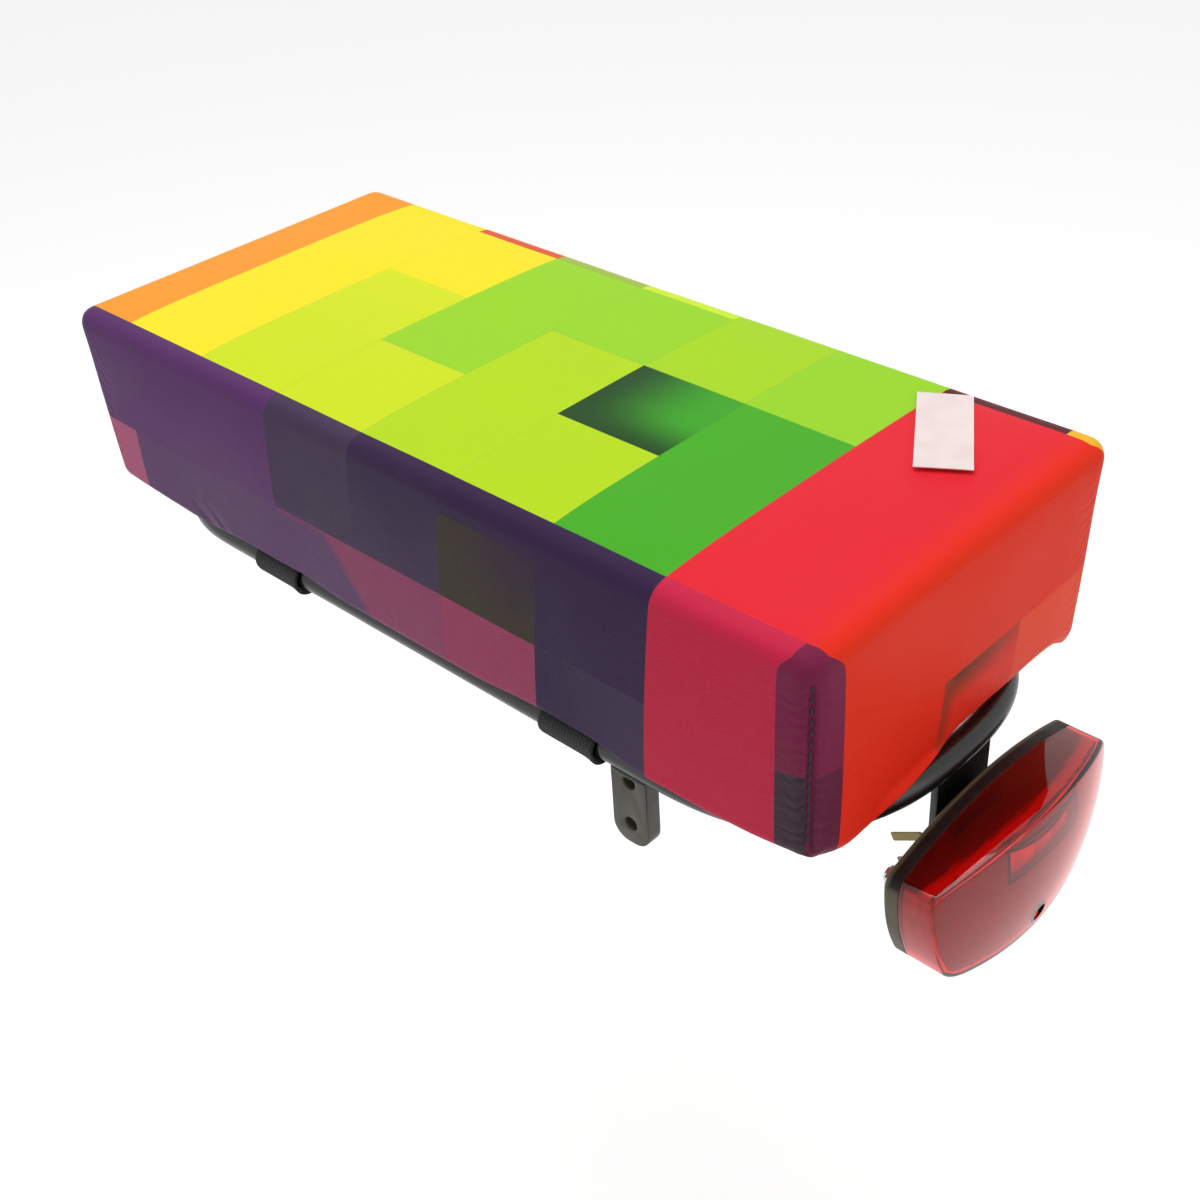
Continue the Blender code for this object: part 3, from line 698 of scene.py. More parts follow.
cushion = {
    "length": 0.360, "width": 0.156, "height": 0.076, "underside": -0.0013,
    "lean": 0.0032,               # each side comes in at the bottom
    "topRadius": 0.0075, "bottomRadius": 0.006, "sharpRadius": 0.003,
    "cellLong": 0.0075, "cellWide": 0.0075, "cellHigh": 0.0022, "edgeSteps": 5,
    "hem": 0.030, "thickness": 0.0009,
    "start": 0.0004,              # the cover starts this much smaller, then swells
    "crown": 0.0017,              # most that it may swell
    "quickSwell": 0.7,
    # how far from the corners, the top edge and the hem the cover is held
    "cornerHold": 0.010, "rimHold": 0.008, "rimShare": 0.85, "hemHold": 0.006,
    "seamTop": 0.0675, "seamDepth": 0.0011, "seamWidth": 0.0012,
    "pucker": 0.0005, "puckerPitch": 0.0052, "puckerReach": 0.0080,
    # creases in the cloth: start and end on the blank, width, depth
    "creases": (((0.196, -0.066), (0.204, -0.047), 0.0009, 0.00028),
                ((-0.118, -0.130), (-0.092, -0.146), 0.0022, 0.0011),
                ((-0.106, -0.128), (-0.088, -0.147), 0.0018, 0.0008),
                ((-0.128, -0.138), (-0.104, -0.148), 0.0016, 0.0006)),
    "seamStart": 0.004, "gather": 0.0005, "gatherPitch": 0.011, "gatherRise": 30,
    "gatherReach": 0.011, "waveScale": 28, "waveDepth": 0.00022, "waveStart": 0.002,
    # the lower edge is sharp along the near side and at the back of it
    "sharpSide": (-0.050, 0.0), "sharpBack": (0.150, 0.168), "sharpEnd": (-0.015, 0.010),
    "cornerSpread": 0.016,
    # how close the cloth comes to the middle of the tube, and the height below which that counts
    "tubeZone": 0.004, "hemClear": 0.00545, "wallClear": 0.0068, "edgeBand": 0.006, "leastRise": 0.0002,
    "hangReach": 0.026, "hangFade": (0.0028, 0.0055),
    # how far the cloth hangs beside the rack's tube: place along the edge, depth
    "hangNear": ((-0.150, 0), (-0.120, 0.0012), (-0.098, 0), (-0.057, 0), (-0.035, 0.0022),
                 (0.040, 0.0022), (0.058, 0), (0.093, 0), (0.103, 0.0030), (0.112, 0.0040), (0.127, 0.0034),
                 (0.143, 0.0034), (0.160, 0.0020), (0.178, 0.0012)),
    "hangFar": ((-0.150, 0), (-0.120, 0.0014), (-0.098, 0), (-0.057, 0), (-0.030, 0.0020), (0.030, 0.0016),
                (0.057, 0), (0.096, 0), (0.120, 0.0022), (0.150, 0)),
    "hangRear": ((-0.078, 0.0015), (-0.070, 0.0035), (-0.062, 0.0072), (-0.055, 0.0088), (-0.047, 0.0070),
                 (-0.039, 0.0054), (-0.032, 0.0038), (-0.024, 0.0022), (-0.016, 0.0011), (-0.008, 0.0005),
                 (0, 0), (0.065, 0), (0.072, 0.0046), (0.078, 0.0022)),
    "hangFront": ((-0.066, 0), (-0.045, 0.0020), (-0.020, 0), (0.025, 0), (0.050, 0.0016), (0.066, 0)),
}
cushion["top"] = cushion["underside"] + cushion["height"]

clothFrames = 20
clothSettings = {
    "quality": 8, "mass": 0.25, "tension_stiffness": 40, "compression_stiffness": 40,
    "shear_stiffness": 15, "bending_stiffness": 2, "use_pressure": True,
    "uniform_pressure_force": 3.0, "vertex_group_mass": "held",
}

# How the print was pulled as the cover was fitted
pulled = {
    "fold": 0.004,                # a side's print begins this far inside its edge
    "shear": 0.13,                # how far the near side's print was pulled forward
    "shearEnd": (0.085, 0.165),
    "sideDip": 0.0036, "sideDipFrom": (0.163, 0.180), "sideDrop": 0.045, "rearEase": 0.009,
    "rearShift": 0.0030, "rearShiftEnd": (-0.074, -0.062), "rearDrop": 0.044,
}

# The dark strip round the near corner at the back, which ends in an arch
strip = {
    "start": 0.14, "archHeight": 0.013, "side": 0.0114, "rear": 0.0139, "fadeAbove": 0.012,
    "topShare": 0.86, "taperDrop": 0.060, "sideLine": 0.166, "sideFade": (0.145, 0.165),
    "rearLine": -0.0675, "rearFade": (0.018, 0.035),
}

printPitch = 0.045
printStart = -0.149               # where the first square of the length begins
printColours = {
    "orange": "FFA030", "deepOrange": "FF8A1C", "yellow": "FFEC26", "limeYellow": "D5E91F",
    "paleYellow": "DDEB24", "lime": "BBE21E", "freshGreen": "9EDC2A", "yellowLime": "ADDE22",
    "green": "4BB126", "midGreen": "43A82A", "bottleGreen": "22481E", "red": "EE2A36",
    "orangeRed": "F53418", "lightRed": "FF4C2C", "rearRed": "F82C16", "brown": "64341C", "brick": "A83822",
    "coral": "F83822", "purple": "663E72", "violet": "5A3068", "slatePurple": "473753",
    "charcoal": "40352C", "navyPurple": "372347", "crimson": "D2294C", "plum": "7F2448",
    "darkPlum": "66203E", "duskPurple": "44303E", "rose": "BC6384", "mutedRose": "98476A",
    "brightRose": "A64468", "dustyPurple": "66466F", "maroon": "5E2226", "darkRed": "B84038",
    "rust": "E65F38", "olive": "A9C24C", "brightLime": "D4F438", "teal": "2E7D5B",
    "fern": "3F8F3A", "amber": "FFC02E",
}

# Colour, columns and rows in steps of the pitch: column 0 starts at printStart, and row 0
# is the middle of the top. Then, where wanted: how much it fades out (below 0: towards its
# start), whether it fades across the rows, its slant and its softness.
printFields = [
    ("orange", (-9, 0), (-1, 9)), ("yellow", (0, 1), (-1, 3)), ("limeYellow", (1, 2), (-1, 1)),
    ("paleYellow", (1, 2), (0, 1), -0.6), ("yellow", (1, 2), (1, 2)), ("rust", (1, 2), (2, 3)),
    ("limeYellow", (2, 3), (-1, 0)), ("freshGreen", (2, 3), (0, 2)), ("olive", (2, 3), (2, 3)),
    ("lime", (3, 4), (-1, 1)), ("freshGreen", (3, 4), (1, 2)), ("brightLime", (3, 4), (2, 3)),
    ("lime", (4, 5), (-1, 0)), ("midGreen", (4, 5), (0, 1)),
    ("bottleGreen", (4, 4.9), (0, 1), 1.0, 0.0), ("bottleGreen", (4, 5), (0, 0.55), 1.0, 1.0),
    ("yellowLime", (4, 5), (1, 3)), ("green", (5, 6), (-1, 1)), ("freshGreen", (5, 6), (1, 3)),
    ("red", (6, 9), (-1, 2)), ("orangeRed", (7.1, 12), (-9, 9), 0.0, 0.0, 0.0, 0.016),
    ("maroon", (6, 7), (2, 3)), ("darkRed", (6, 7), (2, 3), -1.0), ("amber", (7, 12), (2, 9)),
    ("violet", (-9, 2), (-2, -1)), ("purple", (-9, 2), (-2, -1), 0.9), ("slatePurple", (2, 4), (-2, -1)),
    ("navyPurple", (3, 6), (-2, -1)), ("slatePurple", (3, 4), (-2, -1), 0.9),
    ("charcoal", (4, 5), (-2, -1.15), 1.0, 1.0), ("charcoal", (4, 5), (-2, -1.3), 0.9, 0.0),
    ("crimson", (6, 7), (-9, -1)), ("plum", (7, 8), (-2, -1)),
    ("rose", (-9, 0), (-9, -2)), ("dustyPurple", (0, 2), (-9, -2)),
    ("mutedRose", (2, 4), (-9, -2)), ("dustyPurple", (1.5, 2.62), (-9, -2), 0.0, 0.0, 0.84, 0.007),
    ("brightRose", (4, 5), (-9, -2)), ("slatePurple", (5, 6), (-9, -2)),
    ("navyPurple", (5, 6), (-3, -2), 1.0, 0.0),
    ("duskPurple", (7, 8), (-9, -2)), ("plum", (8, 12), (-9, -1)), ("darkPlum", (8, 12), (-9, -1), 0.8, 0.0),
    ("coral", (8, 12), (0, 1)), ("rearRed", (8, 9), (-1, 2), -0.7, 0.0),
    ("brown", (8, 8.30), (0, 1), 1.0, 0.0), ("coral", (8, 8.30), (0, 1.7), -1.0, 1.0),
    ("brick", (8, 12), (0, 0.20), 1.0, 1.0), ("coral", (8.1, 9.3), (0, 0.20), -1.0, 0.0),
    ("lightRed", (8, 12), (1, 2)),
    ("deepOrange", (-12, -2), (0, 2)), ("amber", (-12, -2), (-1, 0)),
    ("yellow", (0, 2), (3, 9)), ("rust", (1, 2), (3, 9)),
    ("olive", (2, 3), (3, 9)), ("fern", (3, 4), (3, 9)), ("brightLime", (4, 5), (3, 9)),
    ("teal", (5, 6), (3, 9)), ("darkRed", (6, 7), (3, 9)),
]

# Where the print's lines lie on the pulled cloth: place on the blank, place in the print
pullLong = ((-0.30, -0.290), (-0.149, -0.149), (0.121, 0.121), (0.167, 0.166), (0.2200, 0.211),
            (0.30, 0.284))
pullWide = ((-0.17, -0.157), (-0.1206, -0.1125), (-0.0705, -0.0675), (-0.0225, -0.0225),
            (0.0200, 0.0225), (0.0690, 0.0675), (0.1186, 0.1125), (0.17, 0.158))
pullRear = ((-0.10, -0.105), (-0.0625, -0.0675), (-0.0105, -0.0225), (0.0320, 0.0225),
            (0.0800, 0.0675))


# Value of a table of (place, value) pairs at a place
def tableValue(table, place):
    if place <= table[0][0]:
        return table[0][1]
    for (a, low), (b, high) in zip(table, table[1:]):
        if place <= b:
            return low + (high - low) * (place - a) / (b - a)
    return table[-1][1]


def smoothStep(low, high, value):
    share = min(1, max(0, (value - low) / (high - low)))
    return share * share * (3 - 2 * share)


# Place in the print of a place on the blank
def pull(u, v, c, p=pulled):
    dropSide = abs(v) - (c["width"] / 2 - p["fold"])
    dropRear = u - (c["length"] / 2 - p["fold"])
    x, y = tableValue(pullLong, u), tableValue(pullWide, v)
    if v < 0 and dropSide > 0:
        x += p["shear"] * dropSide * (1 - smoothStep(*p["shearEnd"], u))
        y -= p["sideDip"] * smoothStep(*p["sideDipFrom"], u) * dropSide / p["sideDrop"]
    if dropRear > 0:
        y += (tableValue(pullRear, v) - y) * (1 - exp(-dropRear / p["rearEase"]))
        x -= p["rearShift"] * smoothStep(*p["rearShiftEnd"], v) * min(1, dropRear / p["rearDrop"])
    return roundStrip(u, v, x, y, c["width"] / 2 - c["topRadius"], c["length"] / 2 - c["topRadius"],
                      c["topRadius"] * pi / 4, strip)


# Moves the print so that the strip keeps its width down the corner, from halfway round the
# top edge, which lies a turn past the flat of the top
def roundStrip(u, v, x, y, flatSide, flatRear, turn, s):
    overSide, overRear = abs(v) - flatSide, u - flatRear
    if v > 0 or u < s["start"]:
        return x, y
    if overSide > turn + sameSpot:
        across, down = overRear - turn, overSide
    elif overRear > turn + sameSpot:
        across, down = turn - overSide, overRear
    else:
        across, down = overRear - overSide, max(overSide, overRear)
    rise = 1 - min(1, max(0, down) / s["archHeight"])
    arch = 1 - rise ** (2 if across < 0 else 1.5)
    above = 1 - smoothStep(0, s["fadeAbove"], -down)
    if across < 0:
        wanted = s["sideLine"] + across + s["side"] * arch
        return x + (wanted - x) * smoothStep(*s["sideFade"], u) * above, y
    taper = s["topShare"] + (1 - s["topShare"]) * min(1, max(0, down) / s["taperDrop"])
    wanted = s["rearLine"] + across - s["rear"] * taper * arch
    return x, y + (wanted - y) * (1 - smoothStep(*s["rearFade"], across)) * above


def printMaterial(c):
    material, tree, shader = newMaterial("printedCloth", {"Specular IOR Level": 0.08})
    blank = addNode(tree, "UVMap", uv_map="blank").outputs[0]
    seam = addNode(tree, "UVMap", uv_map="seam").outputs[0]
    place = objectPlace(tree)
    ground = addNode(tree, "RGB")
    ground.outputs[0].default_value = shade(printColours["purple"])
    colour = ground.outputs[0]
    for name, columns, rows, *more in printFields:
        fade, turn, slant, softness = list(more) + [0.0, 1.0, 0.0, 0.0004][len(more):]
        ends = [printStart + printPitch * n for n in columns] + [printPitch * (n - 0.5) for n in rows]
        colour = useGroup(tree, printedField, {
            "Under": colour, "Blank": blank, "Colour": shade(printColours[name]),
            "X Start": ends[0], "X End": ends[1], "Y Start": ends[2], "Y End": ends[3],
            "Fade": fade, "Turn": turn, "Slant": slant, "Softness": softness})["Colour"]
    threads = useGroup(tree, weave, {"Place": blank, "Pitch": 0.00042})
    fine = useGroup(tree, grain, {"Place": blank, "Size": 0.004})
    wearAndPaintedReflection = mixColours(tree, times(tree, fine["Blotch"], 0.06), colour,
                      (0.9, 0.9, 0.9, 1), "SOFT_LIGHT")
    feed(shader, "Base Color", wearAndPaintedReflection)
    feed(shader, "Roughness", ramp(tree, fine["Blotch"], 0.0, 1.0, 0.42, 0.52))
    weaveHeight = times(tree, threads["Height"], 0.00005)
    height = maths(tree, "MULTIPLY_ADD", fine["Height"], 0.000075, weaveHeight)
    puckers = useGroup(tree, seamPuckers, {"Seam": seam, "Place": place, "Pitch": c["puckerPitch"],
                                           "Reach": c["puckerReach"], "Depth": c["pucker"],
                                           "Start": c["seamTop"]})
    height = maths(tree, "ADD", height, puckers["Height"])
    for first, last, width, depth in c["creases"]:
        fold = useGroup(tree, crease, {"Blank": blank, "Start": (*first, 0), "End": (*last, 0),
                                       "Width": width, "Depth": depth})
        height = maths(tree, "ADD", height, fold["Height"])
    addBump(tree, shader, height, 1.0)
    return material


# Places across one side of the block: close together where the edge turns
def spread(half, lowRadius, highRadius, cell, steps):
    flat = 2 * half - lowRadius - highRadius
    count = max(1, round(flat / cell))
    places = [-half + lowRadius * (1 - tan(radians(45) * (1 - s / steps))) for s in range(steps)]
    places += [-half + lowRadius + flat * k / count for k in range(count + 1)]
    places += [half - highRadius * (1 - tan(radians(45) * s / steps)) for s in range(1, steps + 1)]
    return places


# Length along the cloth from the middle of a face to a place on it
def clothLength(place, half, radius):
    past = abs(place) - (half - radius)
    if past <= 0:
        return place
    run = half - radius + radius * atan(past / radius)
    return run if place > 0 else -run


# Length along the cloth from the middle of the top, over its edge and down to a height
def clothDrop(half, height, c):
    down = c["top"] - height
    radius, low = c["topRadius"], c["bottomRadius"]
    start = half - radius + radius * pi / 2
    if down < radius:
        return start - radius * atan((radius - down) / radius)
    up = height - c["underside"]
    if up >= low:
        return start + down - radius
    return start + c["height"] - radius - low + low * atan((low - up) / low)


def coverShape(c, inset):
    halfX, halfY = c["length"] / 2, c["width"] / 2
    side, top, low, steps = c["topRadius"], c["topRadius"], c["bottomRadius"], c["edgeSteps"]
    xs = spread(halfX, side, side, c["cellLong"], steps)
    ys = spread(halfY, side, side, c["cellWide"], steps)
    zs = [c["underside"] + c["height"] / 2 + z
          for z in spread(c["height"] / 2, low, top, c["cellHigh"], steps)]
    lastX, lastY, lastZ = len(xs) - 1, len(ys) - 1, len(zs) - 1
    hemX, hemY = halfX - c["lean"] - c["hem"], halfY - c["lean"] - c["hem"]
    index, verts, faces, blanks, kinds = {}, [], [], [], []

    def vertex(key):
        if key not in index:
            flat = Vector((xs[key[0]], ys[key[1]], zs[key[2]]))
            index[key] = len(verts)
            verts.append(roundPlace(flat, c, inset))
            kinds.append(flat)
        return index[key]

    def face(keys, unfold):
        faces.append(tuple(vertex(key) for key in keys))
        blanks.append([pull(*unfold(Vector((xs[i], ys[j], zs[k]))), c) for i, j, k in keys])

    def underFace(keys, endFlap):
        middle = sum((Vector((xs[key[0]], ys[key[1]], 0)) for key in keys), Vector()) / len(keys)
        if endFlap:
            flap, sign = clothDrop(halfX, c["underside"], c), 1 if middle.x > 0 else -1
            face(keys, lambda p: (sign * (flap + halfX - abs(p.x)), p.y))
        else:
            flap, sign = clothDrop(halfY, c["underside"], c), 1 if middle.y > 0 else -1
            face(keys, lambda p: (p.x, sign * (flap + halfY - abs(p.y))))

    def overTop(p):
        return clothLength(p.x, halfX, side), clothLength(p.y, halfY, side)

    for i in range(lastX):
        for j in range(lastY):
            face([(i, j, lastZ), (i + 1, j, lastZ), (i + 1, j + 1, lastZ), (i, j + 1, lastZ)], overTop)
            middleX, middleY = (xs[i] + xs[i + 1]) / 2, (ys[j] + ys[j + 1]) / 2
            if abs(middleX) < hemX and abs(middleY) < hemY:
                continue
            ring = [(i, j, 0), (i, j + 1, 0), (i + 1, j + 1, 0), (i + 1, j, 0)]
            nearX, nearY = min(i, lastX - 1 - i), min(j, lastY - 1 - j)
            if nearX != nearY:
                underFace(ring, nearX < nearY)
                continue
            turn = 0 if (i == nearX) == (j == nearY) else 1      # the hem is mitred along this diagonal
            a, b, d, e = ring[turn:] + ring[:turn]
            for three in ((a, b, d), (a, d, e)):
                spots = [(halfX - abs(xs[k[0]]), halfY - abs(ys[k[1]])) for k in three]
                underFace(list(three), sum(s[0] for s in spots) < sum(s[1] for s in spots))
    for k in range(lastZ):
        for i in range(lastX):
            for j, sign in ((0, -1), (lastY, 1)):
                keys = [(i, j, k), (i + 1, j, k), (i + 1, j, k + 1), (i, j, k + 1)]
                face(keys[::-sign], lambda p, s=sign: (clothLength(p.x, halfX, side),
                                                       s * clothDrop(halfY, p.z, c)))
        for j in range(lastY):
            for i, sign in ((0, -1), (lastX, 1)):
                keys = [(i, j, k), (i, j + 1, k), (i, j + 1, k + 1), (i, j, k + 1)]
                face(keys[::sign], lambda p, s=sign: (s * clothDrop(halfX, p.z, c),
                                                      clothLength(p.y, halfY, side)))
    return verts, faces, blanks, kinds


# Distances from a place on the straight block to its end and to its side
def toEdges(flat, c):
    return c["length"] / 2 - abs(flat.x), c["width"] / 2 - abs(flat.y)


# Radius of the lower edge: the cloth is tight along the near side and round the near
# corner at the back, and rounder elsewhere
def lowRadius(flat, c):
    corner = exp(-((max(toEdges(flat, c)) / c["cornerSpread"]) ** 2))
    near = 1 - smoothStep(*c["sharpSide"], flat.y)
    rear = smoothStep(*c["sharpBack"], flat.x) * (1 - smoothStep(*c["sharpEnd"], flat.y))
    near = max(near, rear)
    radius = c["bottomRadius"] + (c["sharpRadius"] - c["bottomRadius"]) * near
    return radius + (c["bottomRadius"] - radius) * corner


# Rounds a place on the straight block, then leans its sides in towards the bottom
def roundPlace(flat, c, inset):
    halfX, halfY = c["length"] / 2, c["width"] / 2
    share = (flat.z - c["underside"]) / c["height"]
    low = lowRadius(flat, c)
    radius = low + (c["topRadius"] - low) * min(1, max(0, share * 2 - 0.5))
    lowZ, highZ = c["underside"] + low, c["top"] - c["topRadius"]
    core = Vector((max(-halfX + radius, min(halfX - radius, flat.x)),
                   max(-halfY + radius, min(halfY - radius, flat.y)),
                   max(lowZ, min(highZ, flat.z))))
    away = flat - core
    reach = radius if flat.z < highZ else c["topRadius"]
    if flat.z < lowZ:
        reach = low
    place = core + away.normalized() * reach if away.length > 0 else flat.copy()
    lean = c["lean"] * (1 - share)
    place.x *= (halfX - lean - inset) / halfX
    place.y *= (halfY - lean - inset) / halfY
    if place.z > c["top"] / 2:
        place.z -= inset
    return place


# Swells the cover with Blender's cloth, held at its hem and along the block's edges
def swell(piece, weights, c):
    held = piece.vertex_groups.new(name="held")
    for k, weight in enumerate(weights):
        held.add([k], weight, "REPLACE")
    cloth = piece.modifiers.new("swell", "CLOTH")
    for key, value in clothSettings.items():
        setattr(cloth.settings, key, value)
    cloth.settings.effector_weights.gravity = 0
    cloth.point_cache.frame_start = 1
    cloth.point_cache.frame_end = clothFrames
    before = [v.co.copy() for v in piece.data.vertices]
    for step in range(1, clothFrames + 1):
        scene.frame_set(step)
    graph = bpy.context.evaluated_depsgraph_get()
    after = [v.co.copy() for v in piece.evaluated_get(graph).data.vertices]
    piece.modifiers.remove(cloth)
    scene.frame_set(1)
    for vert, old, new in zip(piece.data.vertices, before, after):
        move = new - old
        reach = c["crown"] * (1 - exp(-move.length / c["crown"]))
        vert.co = old + move.normalized() * reach if move.length > 0 else old


def buildCover(c):
    verts, faces, blanks, flats = coverShape(c, c["start"])
    piece = makePiece("cushionCover", verts, faces, printMaterial(c), sharp=180)
    layer = piece.data.uv_layers.new(name="blank")
    for polygon in piece.data.polygons:
        known = dict(zip(faces[polygon.index], blanks[polygon.index]))
        for loopIndex in polygon.loop_indices:
            layer.data[loopIndex].uv = known[piece.data.loops[loopIndex].vertex_index]
    beside = piece.data.uv_layers.new(name="seam")
    for loop in piece.data.loops:
        flat = flats[loop.vertex_index]
        near, far = sorted(toEdges(flat, c))
        beside.data[loop.index].uv = (far if near < sameSpot else far + near, flat.z)
    weights = []
    for flat in flats:
        toX, toY = toEdges(flat, c)
        toTop, toLow = c["top"] - flat.z, flat.z - c["underside"]
        corner = exp(-((toX / c["cornerHold"]) ** 2 + (toY / c["cornerHold"]) ** 2))
        rim = exp(-((toTop / c["rimHold"]) ** 2 + (min(toX, toY) / c["rimHold"]) ** 2))
        base = exp(-(toLow / c["hemHold"]) ** 2)
        weights.append(min(1.0, max(corner, c["rimShare"] * rim, base)))
    swell(piece, weights, c)
    normals = [v.normal.copy() for v in piece.data.vertices]
    for vert, flat, normal in zip(piece.data.vertices, flats, normals):
        vert.co += seamMove(flat, normal, c)
        vert.co.z -= hang(flat, c)
        clearTube(vert, flat, c)
    shell = piece.modifiers.new("thickness", "SOLIDIFY")
    shell.thickness = c["thickness"]
    shell.offset = -1
    smooth = piece.modifiers.new("smooth", "SUBSURF")
    smooth.levels = 1
    smooth.render_levels = 1
    applyModifiers(piece)
    settle(piece, "printed_cloth", "cushion_cover")
    return piece


# How far the cloth hangs down beside the tube, on the wall and round its lower edge
def hang(flat, c):
    toX, toY = toEdges(flat, c)
    if toX < toY:
        depth = tableValue(c["hangRear"] if flat.x > 0 else c["hangFront"], flat.y)
    else:
        depth = tableValue(c["hangFar"] if flat.y > 0 else c["hangNear"], flat.x)
    up = flat.z - c["underside"]
    wall = max(0, 1 - up / c["hangReach"]) ** 2
    inside = 1 - smoothStep(*c["hangFade"], min(toX, toY)) if up < sameSpot else 1
    return depth * wall * inside


# Moves a place on the cloth off the rack's tube: the hem lies on it, the wall hangs outside it
def clearTube(vert, flat, c):
    if vert.co.z > c["tubeZone"]:
        return
    toX, toY = toEdges(flat, c)
    outward = Vector((copysign(1, flat.x), 0, 0)) if toX < toY else Vector((0, copysign(1, flat.y), 0))
    under = flat.z < c["underside"] + sameSpot
    need = c["hemClear"] if under else c["wallClear"]
    spot = tubeTree.find(vert.co)[0]
    away = vert.co - spot
    if away.length >= need:
        return
    if under and min(toX, toY) > c["edgeBand"]:
        vert.co.z = spot.z + sqrt(need ** 2 - min(away.xy.length_squared, need ** 2))
        return
    side = away.dot(outward)
    along = away - outward * side - Vector((0, 0, away.z))
    if under:
        turn = outward * max(side, 0) + Vector((0, 0, max(away.z, c["leastRise"])))
        vert.co = spot + along + turn.normalized() * need
    else:
        side = max(side, sqrt(max(need ** 2 - away.z ** 2, 0)))
        vert.co = spot + along + outward * side + Vector((0, 0, away.z))


# The cloth dips at the corner seams and gathers over the bottom edge; the puckers beside the seams are in its
# material's bump
def seamMove(flat, normal, c):
    toX, toY = toEdges(flat, c)
    corner = (40 if flat.x > 0 else 90) + (7 if flat.y > 0 else 0)    # gives each corner its own folds
    along = max(toX, toY)             # distance from the corner seam, along the cloth
    move = 0.0
    if min(toX, toY) < sameSpot:
        start = min(1, max(0, (c["seamTop"] - flat.z) / c["seamStart"]))
        move -= c["seamDepth"] * start * exp(-(along / c["seamWidth"]) ** 2)
        run = flat.x if toY < toX else flat.y
        low = exp(-((flat.z - c["underside"]) / c["gatherReach"]) ** 2)
        gather = noise.noise(Vector((run / c["gatherPitch"], corner, flat.z * c["gatherRise"])))
        move += c["gather"] * low * gather
    if flat.z > c["underside"] + c["waveStart"]:
        scale = c["waveScale"]
        move += c["waveDepth"] * noise.noise(Vector((flat.x * scale, flat.y * scale, flat.z * scale)))
    return normal * move


cover = buildCover(cushion)
print("cover made:", len(cover.data.polygons), "faces")

foamCore = {"gap": 0.0024, "bottom": 0.0063, "radius": 0.005, "cell": 0.008}


def buildFoam(c, f):
    halfX, halfY = c["length"] / 2 - c["lean"] - f["gap"], c["width"] / 2 - c["lean"] - f["gap"]
    material, tree, shader = newMaterial("foam", {"Roughness": 0.95, "Specular IOR Level": 0.2})
    place = objectPlace(tree)
    cells = addNode(tree, "TexVoronoi", {"Vector": place, "Scale": 900.0})
    pores = ramp(tree, cells.outputs["Distance"], 0.1, 0.6)
    tone = mixColours(tree, pores, shade("F2E8C4"), shade("CDBB8A"))
    feed(shader, "Base Color", tone)
    addBump(tree, shader, cells.outputs["Distance"], 0.0004)
    verts, faces = softBlock((-halfX, -halfY, f["bottom"]), (halfX, halfY, c["top"] - f["gap"]),
                             f["radius"], f["cell"])
    piece = makePiece("foamBlock", verts, faces, material, sharp=180)
    settle(piece, "foam", "foam_core")


buildFoam(cushion, foamCore)

tag = {"length": 0.0506, "width": 0.0184, "thickness": 0.0003, "place": (0.137, 0.045),
       "turn": -57, "curl": 0.0011, "curlFar": 0.4, "lift": 0.00035, "across": 8, "along": 24,
       "above": 0.2}


# A blank card that lies on the cover and follows it, with its ends a little curled
def buildTag(t, under):
    bpy.context.view_layer.update()
    tree = BVHTree.FromObject(under, bpy.context.evaluated_depsgraph_get())
    turn = Matrix.Rotation(radians(t["turn"]), 4, "Z")
    across, along = t["across"], t["along"]
    tops, lows = [], []
    for i in range(along + 1):
        for j in range(across + 1):
            u, v = i / along * 2 - 1, j / across * 2 - 1
            spot = turn @ Vector((u * t["length"] / 2, v * t["width"] / 2, 0))
            x, y = spot.x + t["place"][0], spot.y + t["place"][1]
            ground = tree.ray_cast(Vector((x, y, t["above"])), Vector((0, 0, -1)))[0].z
            rise = t["curl"] * (max(0, u) ** 3 + t["curlFar"] * max(0, -u) ** 3) + t["lift"]
            lows.append(Vector((x, y, ground + rise)))
            tops.append(Vector((x, y, ground + rise + t["thickness"])))
    material, tree, shader = newMaterial("card", {"Coat Weight": 0.35, "Coat Roughness": 0.2})
    place = objectPlace(tree)
    fibre = useGroup(tree, grain, {"Place": place, "Size": 0.0007})
    tone = mixColours(tree, fibre["Blotch"], shade("F3E2E0"), shade("EDD9D6"))
    feed(shader, "Base Color", tone)
    feed(shader, "Roughness", ramp(tree, fibre["Height"], 0.0, 1.0, 0.4, 0.6))
    addBump(tree, shader, fibre["Height"], 0.00003)
    piece = makePiece("tagCard", tops + lows, sheetFaces(along, across), material, sharp=50)
    settle(piece, "card", "blank_card")


buildTag(tag, cover)

stitches = {"pitch": 0.0040, "length": 0.0028, "radius": 0.00055, "lift": 0.0002,
            "top": 0.0655, "bottom": 0.002, "sunk": 0.0001, "steps": 6, "sides": 8,
            "outside": 0.02, "closed": 0.042, "closedLength": 0.97}        # below closed they nearly touch


def threadMaterial():
    material, tree, shader = newMaterial("seamThread", {"Roughness": 0.7})
    ply = useGroup(tree, grain, {"Place": objectPlace(tree), "Size": 0.0004})
    feed(shader, "Base Color", mixColours(tree, ply["Height"], shade("10080C"), shade("221018")))
    addBump(tree, shader, ply["Height"], 0.00006)
    return material


